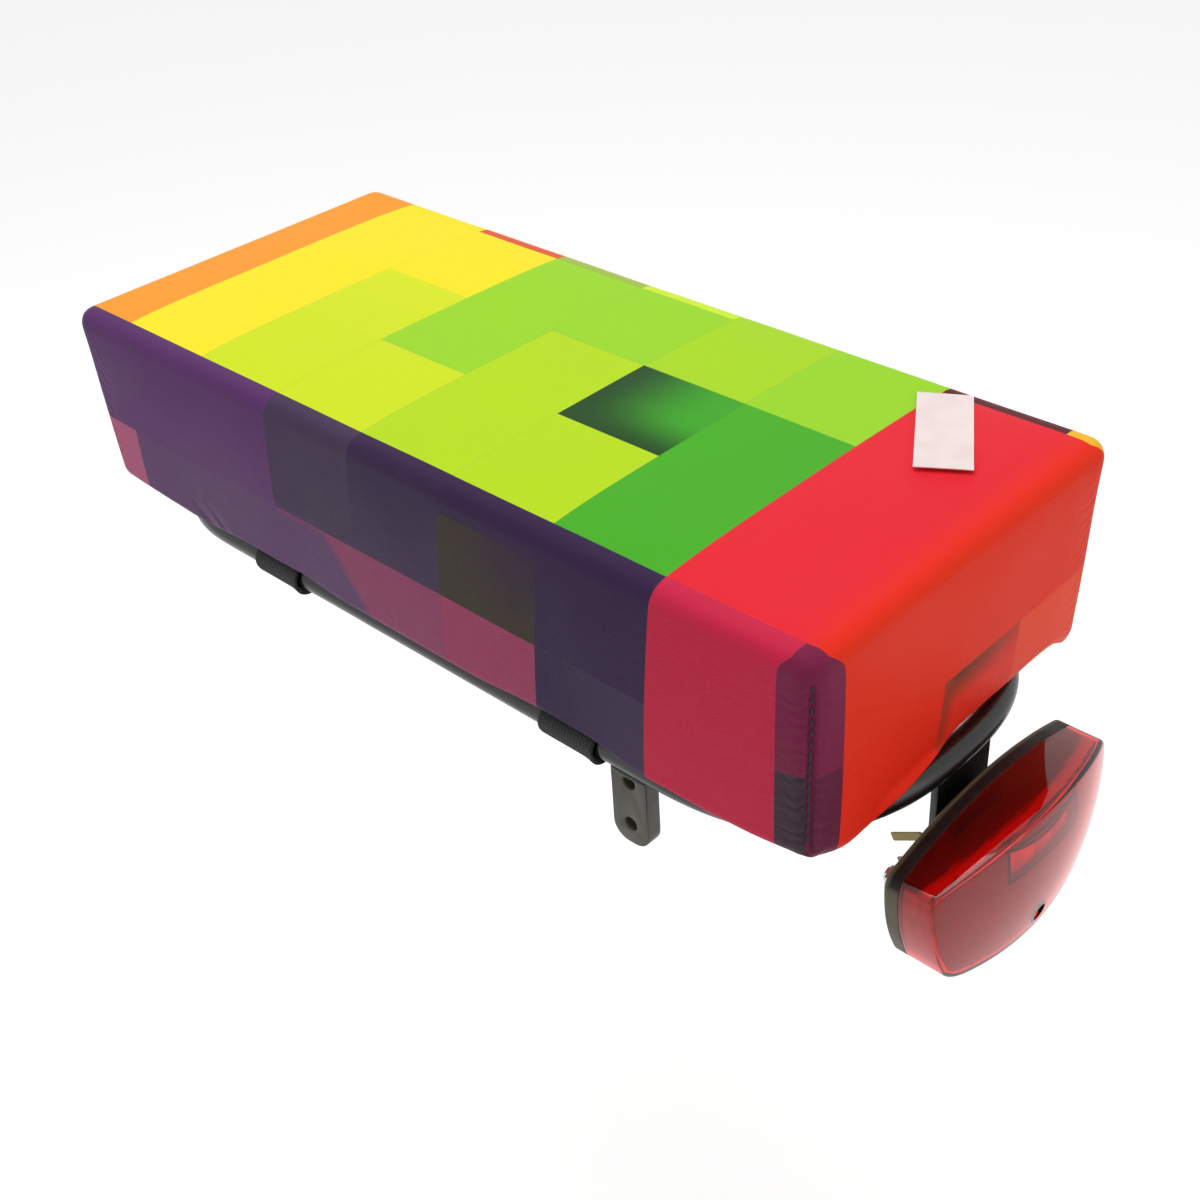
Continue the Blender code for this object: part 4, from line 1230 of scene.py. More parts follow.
# Thread that shows along the four corner seams
def buildStitches(s, c, under):
    tree = BVHTree.FromObject(under, bpy.context.evaluated_depsgraph_get())
    shapes = []
    for signX in (-1, 1):
        for signY in (-1, 1):
            inward = Vector((-signX, -signY, 0)).normalized()
            z = s["top"]
            while z > s["bottom"] + s["pitch"]:
                path, radii = [], []
                length = s["length"] if z > s["closed"] else s["pitch"] * s["closedLength"]
                for k in range(s["steps"] + 1):
                    height = z - length * k / s["steps"]
                    corner = Vector((signX * c["length"] / 2, signY * c["width"] / 2, height))
                    spot = tree.ray_cast(corner - inward * s["outside"], inward)[0]
                    bow = sin(pi * k / s["steps"])
                    path.append(spot - inward * (s["lift"] * bow - s["sunk"]))
                    radii.append(s["radius"] * (0.55 + 0.45 * bow))
                shapes.append(sweep(path, radii, s["sides"]))
                z -= s["pitch"]
    verts, faces = joinShapes(shapes)
    settle(makePiece("seamStitches", verts, faces, threadMaterial()), "printed_cloth")


buildStitches(stitches, cushion, cover)
print("cushion made")

straps = {
    "place": 0.0765, "width": 0.025, "thickness": 0.0016, "gap": 0.0003, "pad": 0.0012,
    "padLength": 0.026, "rib": 0.0014, "ribDepth": 0.00013, "flare": 0.0012,
    "across": 72, "turnSteps": 48, "bendSteps": 12, "padSteps": 13, "flatShare": 0.96,
    "padRadius": 0.0004, "padCell": 0.0008,
}


# Path of a strap in Y and Z: from under the hem, round the outside of the tube and up its
# inner side, then flat under the pad that it is closed on
def strapPath(s, r):
    under = cushion["underside"]
    around = r["tube"] + s["gap"] + s["thickness"] / 2
    start = acos((under - s["gap"] - r["height"]) / (around + s["thickness"] / 2))
    path = []
    for k in range(s["turnSteps"] + 1):
        a = start + (1.5 * pi - start) * k / s["turnSteps"]
        path.append(Vector((r["halfTrack"] + around * sin(a), r["height"] + around * cos(a))))
    level = under - s["pad"] - 2 * s["gap"] - s["thickness"] / 2
    bend = level - r["height"]
    middle = r["halfTrack"] - around - bend
    for k in range(1, s["bendSteps"] + 1):
        a = 0.5 * pi * k / s["bendSteps"]
        path.append(Vector((middle + bend * cos(a), r["height"] + bend * sin(a))))
    for k in range(1, s["padSteps"] + 1):
        path.append(Vector((middle - s["padLength"] * k / s["padSteps"], level)))
    return path, middle


def webbingMaterial():
    material, tree, shader = newMaterial("webbing", {"Roughness": 0.8, "Sheen Weight": 0.2,
                                                     "Specular IOR Level": 0.3})
    place = addNode(tree, "UVMap", uv_map="blank").outputs[0]
    threads = useGroup(tree, weave, {"Place": place, "Pitch": 0.0007, "Twill": 1.0})
    fuzz = useGroup(tree, grain, {"Place": place, "Size": 0.0009})
    tone = mixColours(tree, threads["Height"], shade("0E0E0F"), shade("262627"))
    tone = mixColours(tree, times(tree, fuzz["Blotch"], 0.3), tone, shade("333230"))
    feed(shader, "Base Color", tone)
    addBump(tree, shader, maths(tree, "ADD", threads["Height"], fuzz["Height"]), 0.0002)
    return material


def hookMaterial():
    material, tree, shader = newMaterial("hookTape", {"Roughness": 0.9, "Sheen Weight": 0.3})
    place = objectPlace(tree)
    hooks = addNode(tree, "TexVoronoi", {"Vector": place, "Scale": 1500.0}).outputs["Distance"]
    feed(shader, "Base Color", mixColours(tree, hooks, shade("303032"), shade("0C0C0D")))
    addBump(tree, shader, hooks, 0.0005, -1.0)
    return material


# How far a strap's face stands off its middle, v of the half width out and k steps along
def webbingHeight(s, v, face, k):
    edge = sqrt(max(0, 1 - max(0, abs(v) - s["flatShare"]) ** 2 / 0.0016))
    rib = s["ribDepth"] * cos(2 * pi * v * s["width"] / 2 / s["rib"])
    flare = s["flare"] * max(0, v) ** 6 * sin(pi * min(1, k / s["turnSteps"])) ** 2
    return face * (s["thickness"] / 2 * (0.3 + 0.7 * edge) - s["ribDepth"] + rib) + flare


# Rings round a strap: its outer face from edge to edge, then its inner face back
def strapRings(s, path, x, side):
    rings = []
    for k, point in enumerate(path):
        before, after = path[max(k - 1, 0)], path[min(k + 1, len(path) - 1)]
        along = (after - before).normalized()
        out = Vector((-along.y, along.x))
        ring = []
        for face in (1, -1):
            for n in range(s["across"] + 1):
                v = (n / s["across"] * 2 - 1) * face
                spot = point + out * webbingHeight(s, v, face, k)
                ring.append(Vector((x + v * s["width"] / 2, side * spot.x, spot.y)))
        rings.append(ring)
    return rings


def buildStraps(s, r):
    path, bendEnd = strapPath(s, r)
    webbing, hook = webbingMaterial(), hookMaterial()
    lengths = [0.0]
    for k in range(1, len(path)):
        lengths.append(lengths[-1] + (path[k] - path[k - 1]).length)
    for row, x in (("Front", -s["place"]), ("Rear", s["place"])):
        for hand, side in (("Left", -1), ("Right", 1)):
            rings = strapRings(s, path, x, side)
            verts, faces = loft(rings)
            piece = makePiece("strap" + row + hand, verts, faces, webbing, sharp=70)
            layer = piece.data.uv_layers.new(name="blank")
            count = len(rings[0])
            for loop in piece.data.loops:
                k = loop.vertex_index // count
                layer.data[loop.index].uv = (piece.data.vertices[loop.vertex_index].co.x, lengths[k])
            node = row.lower() + "_" + hand.lower()
            settle(piece, "webbing", "strap_" + node)
            ends = sorted((side * bendEnd, side * (bendEnd - s["padLength"])))
            high = cushion["underside"] - s["gap"]
            verts, faces = softBlock((x - s["width"] / 2, ends[0], high - s["pad"]),
                                     (x + s["width"] / 2, ends[1], high), s["padRadius"], s["padCell"])
            settle(makePiece("strapPad" + row + hand, verts, faces, hook), "hook_tape", "strap_pad_" + node)


buildStraps(straps, rack)
print("straps made")

light = {
    "crown": -0.0103, "width": 0.0996, "height": 0.051, "shoulder": 0.008, "base": 0.080,
    "sag": 0.0035, "bulge": 0.003, "corner": 0.004,
    "back": 0.186, "housing": 0.0056, "wall": 0.002, "front": 0.2145, "gap": 0.0003,
    "dome": 0.128, "domeDrop": 0.024, "edge": 0.0012, "backEdge": 0.0016, "cornerSteps": 8,
    "middle": 0.47,               # the faces' rings close in this share of the way down
    "leastEdge": 0.0003, "edgeShare": 0.4,        # how the lens's edge tightens on its inner skin
    "frontSteps": 16, "turnSteps": 6, "sideSteps": 5, "backSteps": 8,
    "studSpacing": 0.050, "studDrop": 0.034, "studBore": 0.0028, "bossHeight": 0.0042,
    "bossRadius": 0.005, "bossDraft": 0.0004, "bossSunk": 0.001,
    "screwDrop": 0.0435, "screwHead": 0.0028, "screwBore": 0.0018,
    "postFoot": 0.0034, "postTop": 0.0030, "postGap": 0.0013, "postSunk": 0.001,
    "ventDrop": 0.0078, "ventPitch": 0.0105, "ventSides": (-0.0287, -0.0273), "ventHalf": 0.0017,
    # the band of painted reflection at the housing's back edge, and its colour
    "rimStart": 0.0014, "rimEnd": 0.0024, "paintedReflectionColour": "5E5A48",
    "seat": 0.019, "seatThickness": 0.002, "well": 0.0012,
    "panel": 0.0018, "panelCell": 0.004, "panelGap": 0.0004, "panelHole": 0.0046,
    "windowWidth": 0.037, "windowSide": -0.0010, "windowHigh": 0.0046, "windowLow": 0.0170,
    "windowDip": 0.0036, "windowSteps": 24, "browRise": -0.0012, "lineRadius": 0.00042,
    "lineCells": 12,              # steps along each stretch of the window's outline
    "ribPitch": 0.0011, "ribDepth": 0.00035, "facet": 0.0105, "facetDepth": 0.0016,
    "opticGap": 0.0002, "opticBack": 0.1942,
    # how far the shapes that cut the pieces begin and reach
    "wellCut": 0.02, "screwLead": 0.01, "screwCut": 0.03, "studCut": (-0.001, 0.012),
    "ventCut": (-0.001, 0.003), "windowCut": (-0.005, 0.01), "panelCut": 0.04,
    # how far the optic reaches past the window: left, right, below, and short of its top
    "opticPast": (0.0008, 0.0040, 0.0050, 0.0004),
    "skirt": 0.0003, "skirtGap": 0.0001, "skirtFront": 0.0004, "skirtBack": 0.0006,
    "paleFrom": (0.022, 0.045),   # the liner's sides turn paler between these drops from the crown
    # colours of the liner's top, by depth behind the front; the darkening further in is painted shade
    "skirtDepth": 0.022,
    "skirtBand": ((0.0, "2A0505"), (0.0030, "2A0505"), (0.0038, "F0281E"), (0.0062, "D8180F"),
                  (0.0080, "4A0606"), (0.0120, "1E0303"), (0.022, "080101")),
}
light["lensBack"] = light["back"] + light["housing"] + light["gap"]
light["studHeight"] = light["crown"] - light["studDrop"]
light["screwHeight"] = light["crown"] - light["screwDrop"]
light["domeCentre"] = Vector((light["front"] - light["dome"], 0, light["crown"] - light["domeDrop"]))
light["centre"] = Vector((0, light["crown"] - light["height"] * light["middle"]))
alongX = (1, 0, 0)


# Points of a circular arc from start to end that swells by rise to the right of its chord
def arc(start, end, rise, steps):
    start = Vector(start)
    chord = Vector(end) - start
    half = chord.length / 2
    radius = (half * half + rise * rise) / (2 * rise)
    right = Vector((chord.y, -chord.x)).normalized()
    centre = start + chord / 2 + right * (rise - radius)
    reach = asin(half / radius)
    along = chord.normalized()
    turns = [reach * (2 * s / steps - 1) for s in range(steps + 1)]
    return [centre + right * radius * cos(a) + along * radius * sin(a) for a in turns]


# Outline of the tail light seen from behind, in Y and Z, drawn in by inset
def lightOutline(l, inset=0.0):
    shoulder = (l["width"] / 2, l["crown"] - l["shoulder"])
    foot = (l["base"] / 2, l["crown"] - l["height"] + l["sag"])
    corners = [(-foot[0], foot[1]), foot, shoulder, (-shoulder[0], shoulder[1])]
    swells = [(l["sag"], 24), (l["bulge"], 24), (l["shoulder"], 48), (l["bulge"], 24)]
    edges = []
    for k, (rise, steps) in enumerate(swells):
        run = arc(corners[k], corners[(k + 1) % 4], rise, steps)
        ends = (run[0], run[-1])
        edges.append([p for p in run if min((p - ends[0]).length, (p - ends[1]).length) > l["corner"]])
    ring = []
    for k, edge in enumerate(edges):
        ring.extend(edge)
        corner, last, first = Vector(corners[(k + 1) % 4]), edge[-1], edges[(k + 1) % 4][0]
        for s in range(1, l["cornerSteps"]):
            t = s / l["cornerSteps"]
            ring.append(last * (1 - t) ** 2 + corner * 2 * t * (1 - t) + first * t * t)
    drawn = []
    for k, point in enumerate(ring):
        along = (ring[(k + 1) % len(ring)] - ring[k - 1]).normalized()
        drawn.append(point + Vector((-along.y, along.x)) * inset)
    return drawn


# Where the dome of the lens's front lies at a place in Y and Z
def domeX(l, y, z, inset=0.0):
    centre = l["domeCentre"]
    return centre.x + sqrt((l["dome"] - inset) ** 2 - y * y - (z - centre.z) ** 2)


# Rings of the lens from the middle of its front, over the edge and back to its rim
def lensRings(l, wall, back):
    edge = max(l["leastEdge"], l["edge"] - wall * l["edgeShare"])
    rings = []
    outer = lightOutline(l, wall + edge)
    for s in range(1, l["frontSteps"] + 1):
        ring = [l["centre"].lerp(p, s / l["frontSteps"]) for p in outer]
        rings.append([Vector((domeX(l, p.x, p.y, wall), p.x, p.y)) for p in ring])
    for s in range(1, l["turnSteps"] + 1):
        a = radians(90) * s / l["turnSteps"]
        ring = lightOutline(l, wall + edge * (1 - sin(a)))
        rings.append([Vector((domeX(l, p.x, p.y, wall) - edge * (1 - cos(a)), p.x, p.y)) for p in ring])
    side = rings[-1]
    for s in range(1, l["sideSteps"] + 1):
        rings.append([Vector((p.x + (back - p.x) * s / l["sideSteps"], p.y, p.z)) for p in side])
    return rings


def lensMaterial():
    material, tree, shader = newMaterial("redLens", {
        "Base Color": shade("E8181C"), "Transmission Weight": 1.0, "IOR": 1.49, "Roughness": 0.03})
    place = objectPlace(tree)
    scuffs = noiseAt(tree, place, 220.0, 4.0)
    feed(shader, "Roughness", ramp(tree, scuffs, 0.45, 0.75, 0.02, 0.09))
    return material


def buildLens(l):
    outer = lensRings(l, 0.0, l["lensBack"])
    inner = lensRings(l, l["wall"], l["lensBack"])
    verts, faces = loft(outer + inner[::-1])
    lens = makePiece("lightLens", verts, faces, lensMaterial(), sharp=50)
    z = l["screwHeight"]
    seat = l["back"] + l["seat"]
    well = l["screwHead"] + l["gap"]
    length = domeX(l, 0, z, l["wall"] / 2) - seat
    for start, far, radius, how in (
            (seat, length, well + l["well"], "UNION"),
            (seat + l["seatThickness"], l["wellCut"], well, "DIFFERENCE"),
            (seat - l["screwLead"], l["wellCut"], l["screwBore"], "DIFFERENCE")):
        shape = turned((start, 0, z), alongX, [(0, radius), (far, radius)])
        cut(lens, makePiece("wellTool", *shape, lens.data.materials[0]), how)
    smoothBelow(lens.data, sharpAngle)
    settle(lens, "red_lens", "light_lens")


def housingMaterial(l):
    plastic = hardMaterial("blackPlastic", shade("0C0C0A"), 0.42, 0.0006, 0.00003, 0.02,
                           {"Specular IOR Level": 0.2})
    tree = plastic.node_tree
    shader = tree.nodes["Principled BSDF"]
    along = axisOf(tree, objectPlace(tree), 0)
    upward = axisOf(tree, facingOf(tree), 2)
    # Painted reflection: the band along the back edge and every face not turned upward are mixed towards
    # olive-grey, standing for the white surroundings seen in the black plastic
    rim = ramp(tree, along, l["back"] + l["rimEnd"], l["back"] + l["rimStart"])
    wearAndPaintedReflection = maths(tree, "MAXIMUM", rim, ramp(tree, upward, 0.35, 0.1))
    tone = mixColours(tree, wearAndPaintedReflection, shader.inputs["Base Color"].links[0].from_socket, shade(l["paintedReflectionColour"]))
    feed(shader, "Base Color", tone)
    return plastic


# The housing's skin from the middle of its back, round its rim and to the middle inside
def housingRings(l):
    def drawnAt(x, ring):
        return [Vector((x, p.x, p.y)) for p in ring]

    back, rim, edge, steps = l["back"], l["back"] + l["housing"], l["backEdge"], l["backSteps"]
    outline, inner = lightOutline(l, edge), lightOutline(l, l["wall"])
    rings = [drawnAt(back, [l["centre"].lerp(p, s / steps) for p in outline]) for s in range(1, steps + 1)]
    for s in range(1, l["turnSteps"] + 1):
        a = radians(90) * s / l["turnSteps"]
        rings.append(drawnAt(back + edge * (1 - cos(a)), lightOutline(l, edge * (1 - sin(a)))))
    rings += [drawnAt(rim, lightOutline(l)), drawnAt(rim, inner), drawnAt(back + l["wall"], inner)]
    for s in range(steps - 1, 0, -1):
        rings.append(drawnAt(back + l["wall"], [l["centre"].lerp(p, s / steps) for p in inner]))
    return rings


def buildHousing(l):
    plastic, back = housingMaterial(l), l["back"]
    verts, faces = loft(housingRings(l))
    housing = makePiece("lightHousing", verts, faces, plastic)
    bores = []
    for side in (-1, 1):
        start = (back - l["bossHeight"], side * l["studSpacing"] / 2, l["studHeight"])
        profile = [(0, l["bossRadius"] - l["bossDraft"]), (l["bossDraft"], l["bossRadius"]),
                   (l["bossHeight"] + l["bossSunk"], l["bossRadius"] + l["bossDraft"])]
        cut(housing, makePiece("bossTool", *turned(start, alongX, profile, 48), plastic), "UNION")
        bores.append(turned(start, alongX, [(x, l["studBore"]) for x in l["studCut"]]))
    post = turned((back + l["postSunk"], 0, l["screwHeight"]), alongX,
                  [(0, l["postFoot"]), (l["seat"] - l["postGap"], l["postTop"])])
    cut(housing, makePiece("postTool", *post, plastic), "UNION")
    bores.append(turned((back + l["wall"], 0, l["screwHeight"]), alongX,
                        [(0, l["screwBore"]), (l["screwCut"], l["screwBore"])]))
    left, right = l["ventSides"]
    for k in range(2):
        z = l["crown"] - l["ventDrop"] - k * l["ventPitch"]
        bores.append(softBlock((back + l["ventCut"][0], left, z - l["ventHalf"]),
                               (back + l["ventCut"][1], right, z + l["ventHalf"]), 0.0001, 0.002))
    for bore in bores:
        cut(housing, makePiece("boreTool", *bore, plastic))
    smoothBelow(housing.data, sharpAngle)
    settle(housing, "black_plastic", "light_housing")


# A sheet that follows the dome, with ribs or facets on its front, as a closed slab
def domedSlab(l, depth, thickness, step, relief, lowY, highY, lowZ, highZ, backX=None):
    countY = max(2, round((highY - lowY) / step[0]))
    countZ = max(2, round((highZ - lowZ) / step[1]))
    fronts, backs = [], []
    for i in range(countY + 1):
        for j in range(countZ + 1):
            y = lowY + (highY - lowY) * i / countY
            z = lowZ + (highZ - lowZ) * j / countZ
            x = domeX(l, y, z, depth)
            fronts.append(Vector((x - relief(y, z), y, z)))
            backs.append(Vector((backX if backX else x - thickness, y, z)))
    return fronts + backs, sheetFaces(countY, countZ)


# Outline of the window over the optic, its top dipping in the middle
def windowOutline(l, inset):
    left = l["windowSide"] - l["windowWidth"] / 2 + inset
    right = l["windowSide"] + l["windowWidth"] / 2 - inset
    top, low = l["crown"] - l["windowHigh"] - inset, l["crown"] - l["windowLow"] + inset
    dip = arc((right, top), (left, top), -l["windowDip"], l["windowSteps"])
    return [Vector((left, low)), Vector((right, low))] + dip


# The liner's top is coloured by depth behind the front: dark, then bright red, then darkening to near black
# further in as painted shade, with red streaks. Its sides are red with upright light and dark streaks
def skirtMaterial(l):
    material, tree, shader = newMaterial("panelSkirt", {"Roughness": 0.4})
    place = objectPlace(tree)
    facing = axisOf(tree, facingOf(tree), 2)
    away = addNode(tree, "VectorMath", {0: place, 1: tuple(l["domeCentre"])}, operation="DISTANCE")
    depth = maths(tree, "SUBTRACT", l["dome"], away.outputs["Value"])
    long = addNode(tree, "Mapping", {"Vector": place, "Scale": (1.0, 0.06, 1.0)}).outputs[0]
    streaks = noiseAt(tree, long, 900.0, 3.0)
    wave = maths(tree, "MULTIPLY_ADD", maths(tree, "SUBTRACT", streaks, 0.5), 0.0035, depth)
    bands = addNode(tree, "ValToRGB", {0: maths(tree, "DIVIDE", wave, l["skirtDepth"])})
    stops = bands.color_ramp.elements
    for k, (spot, code) in enumerate(l["skirtBand"]):
        stop = stops[k] if k < 2 else stops.new(spot / l["skirtDepth"])
        stop.position, stop.color = spot / l["skirtDepth"], shade(code)
    upright = addNode(tree, "Mapping", {"Vector": place, "Scale": (1.0, 1.0, 0.05)}).outputs[0]
    uprightStreaks = noiseAt(tree, upright, 700.0, 2.0)
    height = axisOf(tree, place, 2)
    side = mixColours(tree, ramp(tree, uprightStreaks, 0.35, 0.65), shade("A82820"), shade("D8483C"))
    upper, lower = l["paleFrom"]
    pale = ramp(tree, height, l["crown"] - upper, l["crown"] - lower)
    side = mixColours(tree, pale, side, shade("E09A90"))
    tone = mixColours(tree, ramp(tree, facing, 0.35, 0.6), side, bands.outputs[0])
    feed(shader, "Base Color", tone)
    return material


# A thin liner behind the lens's sides
def buildSkirt(l, under):
    back, outer = l["lensBack"] + l["skirtBack"], under + l["skirtGap"]
    rings = []
    for inset, front in ((outer, False), (outer, True), (outer + l["skirt"], True),
                         (outer + l["skirt"], False)):
        rings.append([Vector((domeX(l, p.x, p.y, under) - l["skirtFront"] if front else back, p.x, p.y))
                      for p in lightOutline(l, inset)])
    verts, faces = loft(rings, closed=True)
    settle(makePiece("panelSkirt", verts, faces, skirtMaterial(l)), "reflector", "reflector_panel")


# Dark lines round the window, and a flatter one from one of its top corners to the other: painted shade, dark
# pieces laid where the window's edges are shaded
def buildWindowLine(l, under):
    dark, tree, shader = newMaterial("windowLine", {"Roughness": 0.3})
    fine = useGroup(tree, grain, {"Place": objectPlace(tree), "Size": 0.0006})
    tone = mixColours(tree, fine["Blotch"], shade("2E0606"), shade("4A0C0A"))
    feed(shader, "Base Color", tone)
    corners, cells = windowOutline(l, 0.0), l["lineCells"]
    ring = [a.lerp(b, s / cells) for a, b in zip(corners, corners[1:] + corners[:1]) for s in range(cells)]
    brow = arc(ring[2 * cells], ring[-cells], l["browRise"], l["windowSteps"])
    shapes = []
    for line, closed in ((ring, True), (brow, False)):
        path = [Vector((domeX(l, p.x, p.y, under), p.x, p.y)) for p in line]
        shapes.append(sweep(path, l["lineRadius"], 8, closed))
    verts, faces = joinShapes(shapes)
    settle(makePiece("windowLine", verts, faces, dark, sharp=60), "reflector", "reflector_panel")


def ribbedMaterial(l):
    material, tree, shader = newMaterial("reflectorPanel", {"Metallic": 0.35, "Coat Weight": 0.3})
    place = objectPlace(tree)
    fine = useGroup(tree, grain, {"Place": place, "Size": 0.0009})
    height = axisOf(tree, place, 2)
    # Painted light and shade: stripes in step with the ribs, lighter on their upward flanks and darker on
    # their downward ones
    stripe = maths(tree, "SINE", times(tree, height, 2 * pi / l["ribPitch"]))
    tone = mixColours(tree, maths(tree, "MULTIPLY_ADD", stripe, 0.5, 0.5), shade("9A7268"), shade("68463E"))
    feed(shader, "Base Color", tone)
    feed(shader, "Roughness", ramp(tree, fine["Height"], 0.0, 1.0, 0.25, 0.4))
    addBump(tree, shader, fine["Height"], 0.00004)
    return material


# The ribbed reflector behind the lens, with its window and the hole round the screw's post
def buildPanel(l, under):
    def ribs(y, z):
        return l["ribDepth"] * (0.5 + 0.5 * cos(2 * pi * z / l["ribPitch"]))

    material = ribbedMaterial(l)
    verts, faces = domedSlab(l, under, l["panel"], (l["panelCell"], l["ribPitch"] / 4), ribs,
                             -l["width"] / 2, l["width"] / 2, l["crown"] - l["height"], l["crown"])
    panel = makePiece("reflectorPanel", verts, faces, material, sharp=60)
    back, front = l["lensBack"] + l["windowCut"][0], l["front"] + l["windowCut"][1]
    outline = lightOutline(l, under + l["panelGap"])
    cut(panel, plate("panelTool", outline, back, front, facingX, material), "INTERSECT")
    cut(panel, plate("windowTool", windowOutline(l, 0), back, front, facingX, material))
    hole = turned((back, 0, l["screwHeight"]), alongX, [(0, l["panelHole"]), (l["panelCut"], l["panelHole"])])
    cut(panel, makePiece("holeTool", *hole, material))
    smoothBelow(panel.data, 50)
    settle(panel, "reflector", "reflector_panel")


def opticMaterial():
    # Painted light: the block glows a little to stand in for light passing through it
    material, tree, shader = newMaterial("opticBlock", {
        "Roughness": 0.08, "Coat Weight": 0.6, "Coat Roughness": 0.05, "Specular IOR Level": 0.7,
        "Emission Strength": 0.2})
    place = objectPlace(tree)
    flow = noiseAt(tree, place, 160.0, 2.0)
    tone = mixColours(tree, ramp(tree, flow, 0.35, 0.65), shade("FF4A24"), shade("FF9A80"))
    # Painted shade: faces that do not turn towards the front are painted near black
    facing = axisOf(tree, facingOf(tree), 0)
    tone = mixColours(tree, ramp(tree, facing, 0.45, 0.65), shade("160404"), tone)
    feed(shader, "Base Color", tone)
    feed(shader, "Emission Color", tone)
    return material


# The faceted red block that shows in the window
def buildOptic(l, under):
    def facets(y, z):
        one = abs((y / l["facet"]) % 1 - 0.5) * 2
        two = abs((z / l["facet"]) % 1 - 0.5) * 2
        return l["facetDepth"] * max(one, two)

    left, right = l["windowSide"] - l["windowWidth"] / 2, l["windowSide"] + l["windowWidth"] / 2
    pastLeft, pastRight, below, above = l["opticPast"]
    cell = l["facet"] / 12
    verts, faces = domedSlab(l, under + l["panel"] + l["opticGap"], 0.0, (cell, cell), facets,
                             left - pastLeft, right + pastRight, l["crown"] - l["windowLow"] - below,
                             l["crown"] - l["windowHigh"] - above, l["opticBack"])
    settle(makePiece("opticBlock", verts, faces, opticMaterial(), sharp=8), "optic", "led_optic")


buildLens(light)
buildHousing(light)
underLens = light["wall"] + light["gap"]
buildPanel(light, underLens)
buildSkirt(light, underLens)
buildWindowLine(light, underLens)
buildOptic(light, underLens)
print("tail light made")

bracket = {"front": 0.1815, "thickness": 0.003, "neck": 0.029, "arm": 0.033, "armHeight": 0.016,
           "neckCorner": 0.004, "armCorner": 0.005, "edge": 0.0005, "bore": 0.0028,
           "topDrop": 0.0012, "topCorner": 0.0002}


def buildBracket(b, l, r):
    neck, arm = b["neck"] / 2, b["arm"]
    top, low = l["studHeight"] + b["armHeight"] / 2, l["studHeight"] - b["armHeight"] / 2
    high = r["height"] - b["topDrop"]
    corners = [(-neck, high), (-neck, top), (-arm, top), (-arm, low), (arm, low), (arm, top),
               (neck, top), (neck, high)]
    radii = [b["topCorner"], b["neckCorner"]] + [b["armCorner"]] * 4 + [b["neckCorner"], b["topCorner"]]
    outline = rounded(corners, radii)
    holes = [circle((side * l["studSpacing"] / 2, l["studHeight"]), b["bore"]) for side in (-1, 1)]
    piece = plate("lightBracket", outline, b["front"] - b["thickness"], b["front"], facingX, blackPaint,
                  holes, b["edge"])
    settle(piece, "black_paint", "light_bracket")


buildBracket(bracket, light, rack)

zinc = hardMaterial("zinc", shade("C9CBCC"), 0.32, 0.0005, 0.00003, 0.05, {"Metallic": 1.0})
brass = hardMaterial("brass", shade("7C7048"), 0.34, 0.0005, 0.00002, 0.05, {"Metallic": 1.0})
sleeve = hardMaterial("capacitorSleeve", shade("20242F"), 0.3, 0.0005, 0.00002, 0.05, {})
circuitGreen = hardMaterial("circuitBoard", shade("1E5A36"), 0.4, 0.0008, 0.00003, 0.05,
                            {"Coat Weight": 0.4})
diode = hardMaterial("diode", shade("F2DC7A"), 0.25, 0.0004, 0.00002, 0.0, {"Coat Weight": 0.6})


def plywoodMaterial():
    material, tree, shader = newMaterial("plywood", {"Roughness": 0.7})
    place = objectPlace(tree)
    long = addNode(tree, "Mapping", {"Vector": place, "Scale": (12.0, 160.0, 160.0)}).outputs[0]
    lines = noiseAt(tree, long, 6.0, 6.0)
    height = axisOf(tree, place, 2)
    layer = maths(tree, "GREATER_THAN", maths(tree, "FRACT", times(tree, height, 420.0)), 0.5)
    tone = mixColours(tree, ramp(tree, lines, 0.3, 0.7), shade("C79B65"), shade("A87A48"))
    tone = mixColours(tree, times(tree, layer, 0.35), tone, shade("7C5430"))
    feed(shader, "Base Color", tone)
    addBump(tree, shader, lines, 0.0002)
    return material


finishes = {
    "base_board": plywoodMaterial(), "light_stud_left": zinc, "light_stud_right": zinc,
    "stud_nut_left": zinc, "stud_nut_right": zinc, "stud_washer_left": zinc, "stud_washer_right": zinc,
    "lens_screw": zinc, "terminal_signal": brass, "terminal_ground": brass, "capacitor": sleeve,
    "circuit_board": circuitGreen, "led": diode,
}
for node, finish in finishes.items():
    frame["nodes"][node].material_slots[0].material = finish
print("small parts finished")

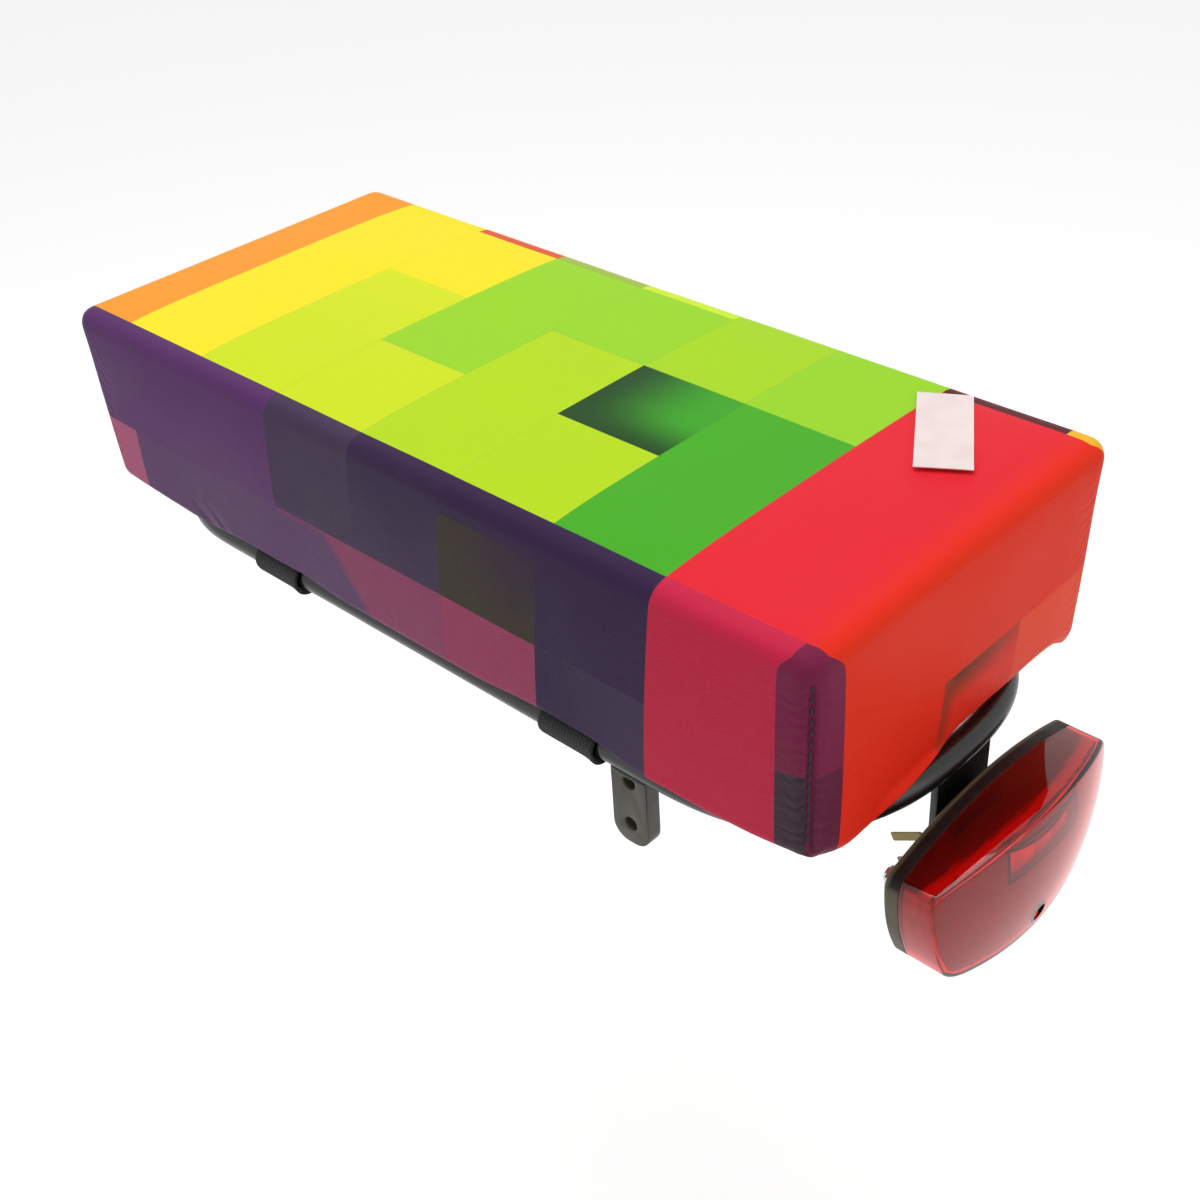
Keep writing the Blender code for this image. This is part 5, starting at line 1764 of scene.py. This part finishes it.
studio = {
    "floor": -0.40, "floorSize": 6.0, "floorGlow": 0.45, "skyLevel": 0.46,
    # each lamp's place, what it points at, its size and its power
    "lamps": {"overhead": ((-0.15, -0.1, 1.1), (0, 0, 0), 0.9, 7.4),
              "rearFill": ((1.1, 0.1, 0.35), (0.1, 0, 0), 0.8, 2.1),
              "lowFill": ((-0.3, -1.1, -0.25), (0, 0, 0), 0.8, 0.7)},
}


# 1 for what the camera sees, straight or in a mirror image or through the lens, else 0
def seenRays(tree):
    path = addNode(tree, "LightPath")
    mirrored = maths(tree, "MAXIMUM", path.outputs["Is Glossy Ray"], path.outputs["Is Transmission Ray"])
    return maths(tree, "MAXIMUM", path.outputs["Is Camera Ray"], mirrored)


# White to the camera and in reflections, a plain grey sky to the rest
def buildWorld(s):
    world = bpy.data.worlds.new("studio")
    scene.world = world
    world.use_nodes = True
    tree = world.node_tree
    background = tree.nodes["Background"]
    level = ramp(tree, seenRays(tree), 0.0, 1.0, s["skyLevel"], 1.0)
    background.inputs["Color"].default_value = (1, 1, 1, 1)
    tree.links.new(level, background.inputs["Strength"])


def buildFloor(s):
    material, tree, shader = newMaterial("paleFloor", {
        "Base Color": (0.9, 0.9, 0.9, 1), "Roughness": 0.9})
    glow = addNode(tree, "Emission", {"Color": (1, 1, 1, 1)})
    tree.links.new(times(tree, seenRays(tree), s["floorGlow"]), glow.inputs["Strength"])
    both = addNode(tree, "AddShader", {0: shader.outputs[0], 1: glow.outputs[0]})
    tree.links.new(both.outputs[0], tree.nodes["Material Output"].inputs["Surface"])
    half = s["floorSize"] / 2
    corners = [(-half, -half, s["floor"]), (half, -half, s["floor"]), (half, half, s["floor"]),
               (-half, half, s["floor"])]
    makePiece("floor", corners, [(0, 1, 2, 3)], material)


def addLamp(name, place, target, size, power):
    data = bpy.data.lights.new(name, "AREA")
    data.shape = "SQUARE"
    data.size = size
    data.energy = power
    lamp = bpy.data.objects.new(name, data)
    lamp.location = place
    lamp.rotation_euler = (Vector(target) - Vector(place)).to_track_quat("-Z", "Y").to_euler()
    scene.collection.objects.link(lamp)


buildWorld(studio)
buildFloor(studio)
for lampName, values in studio["lamps"].items():
    addLamp(lampName, *values)

scene.view_settings.view_transform = "Standard"
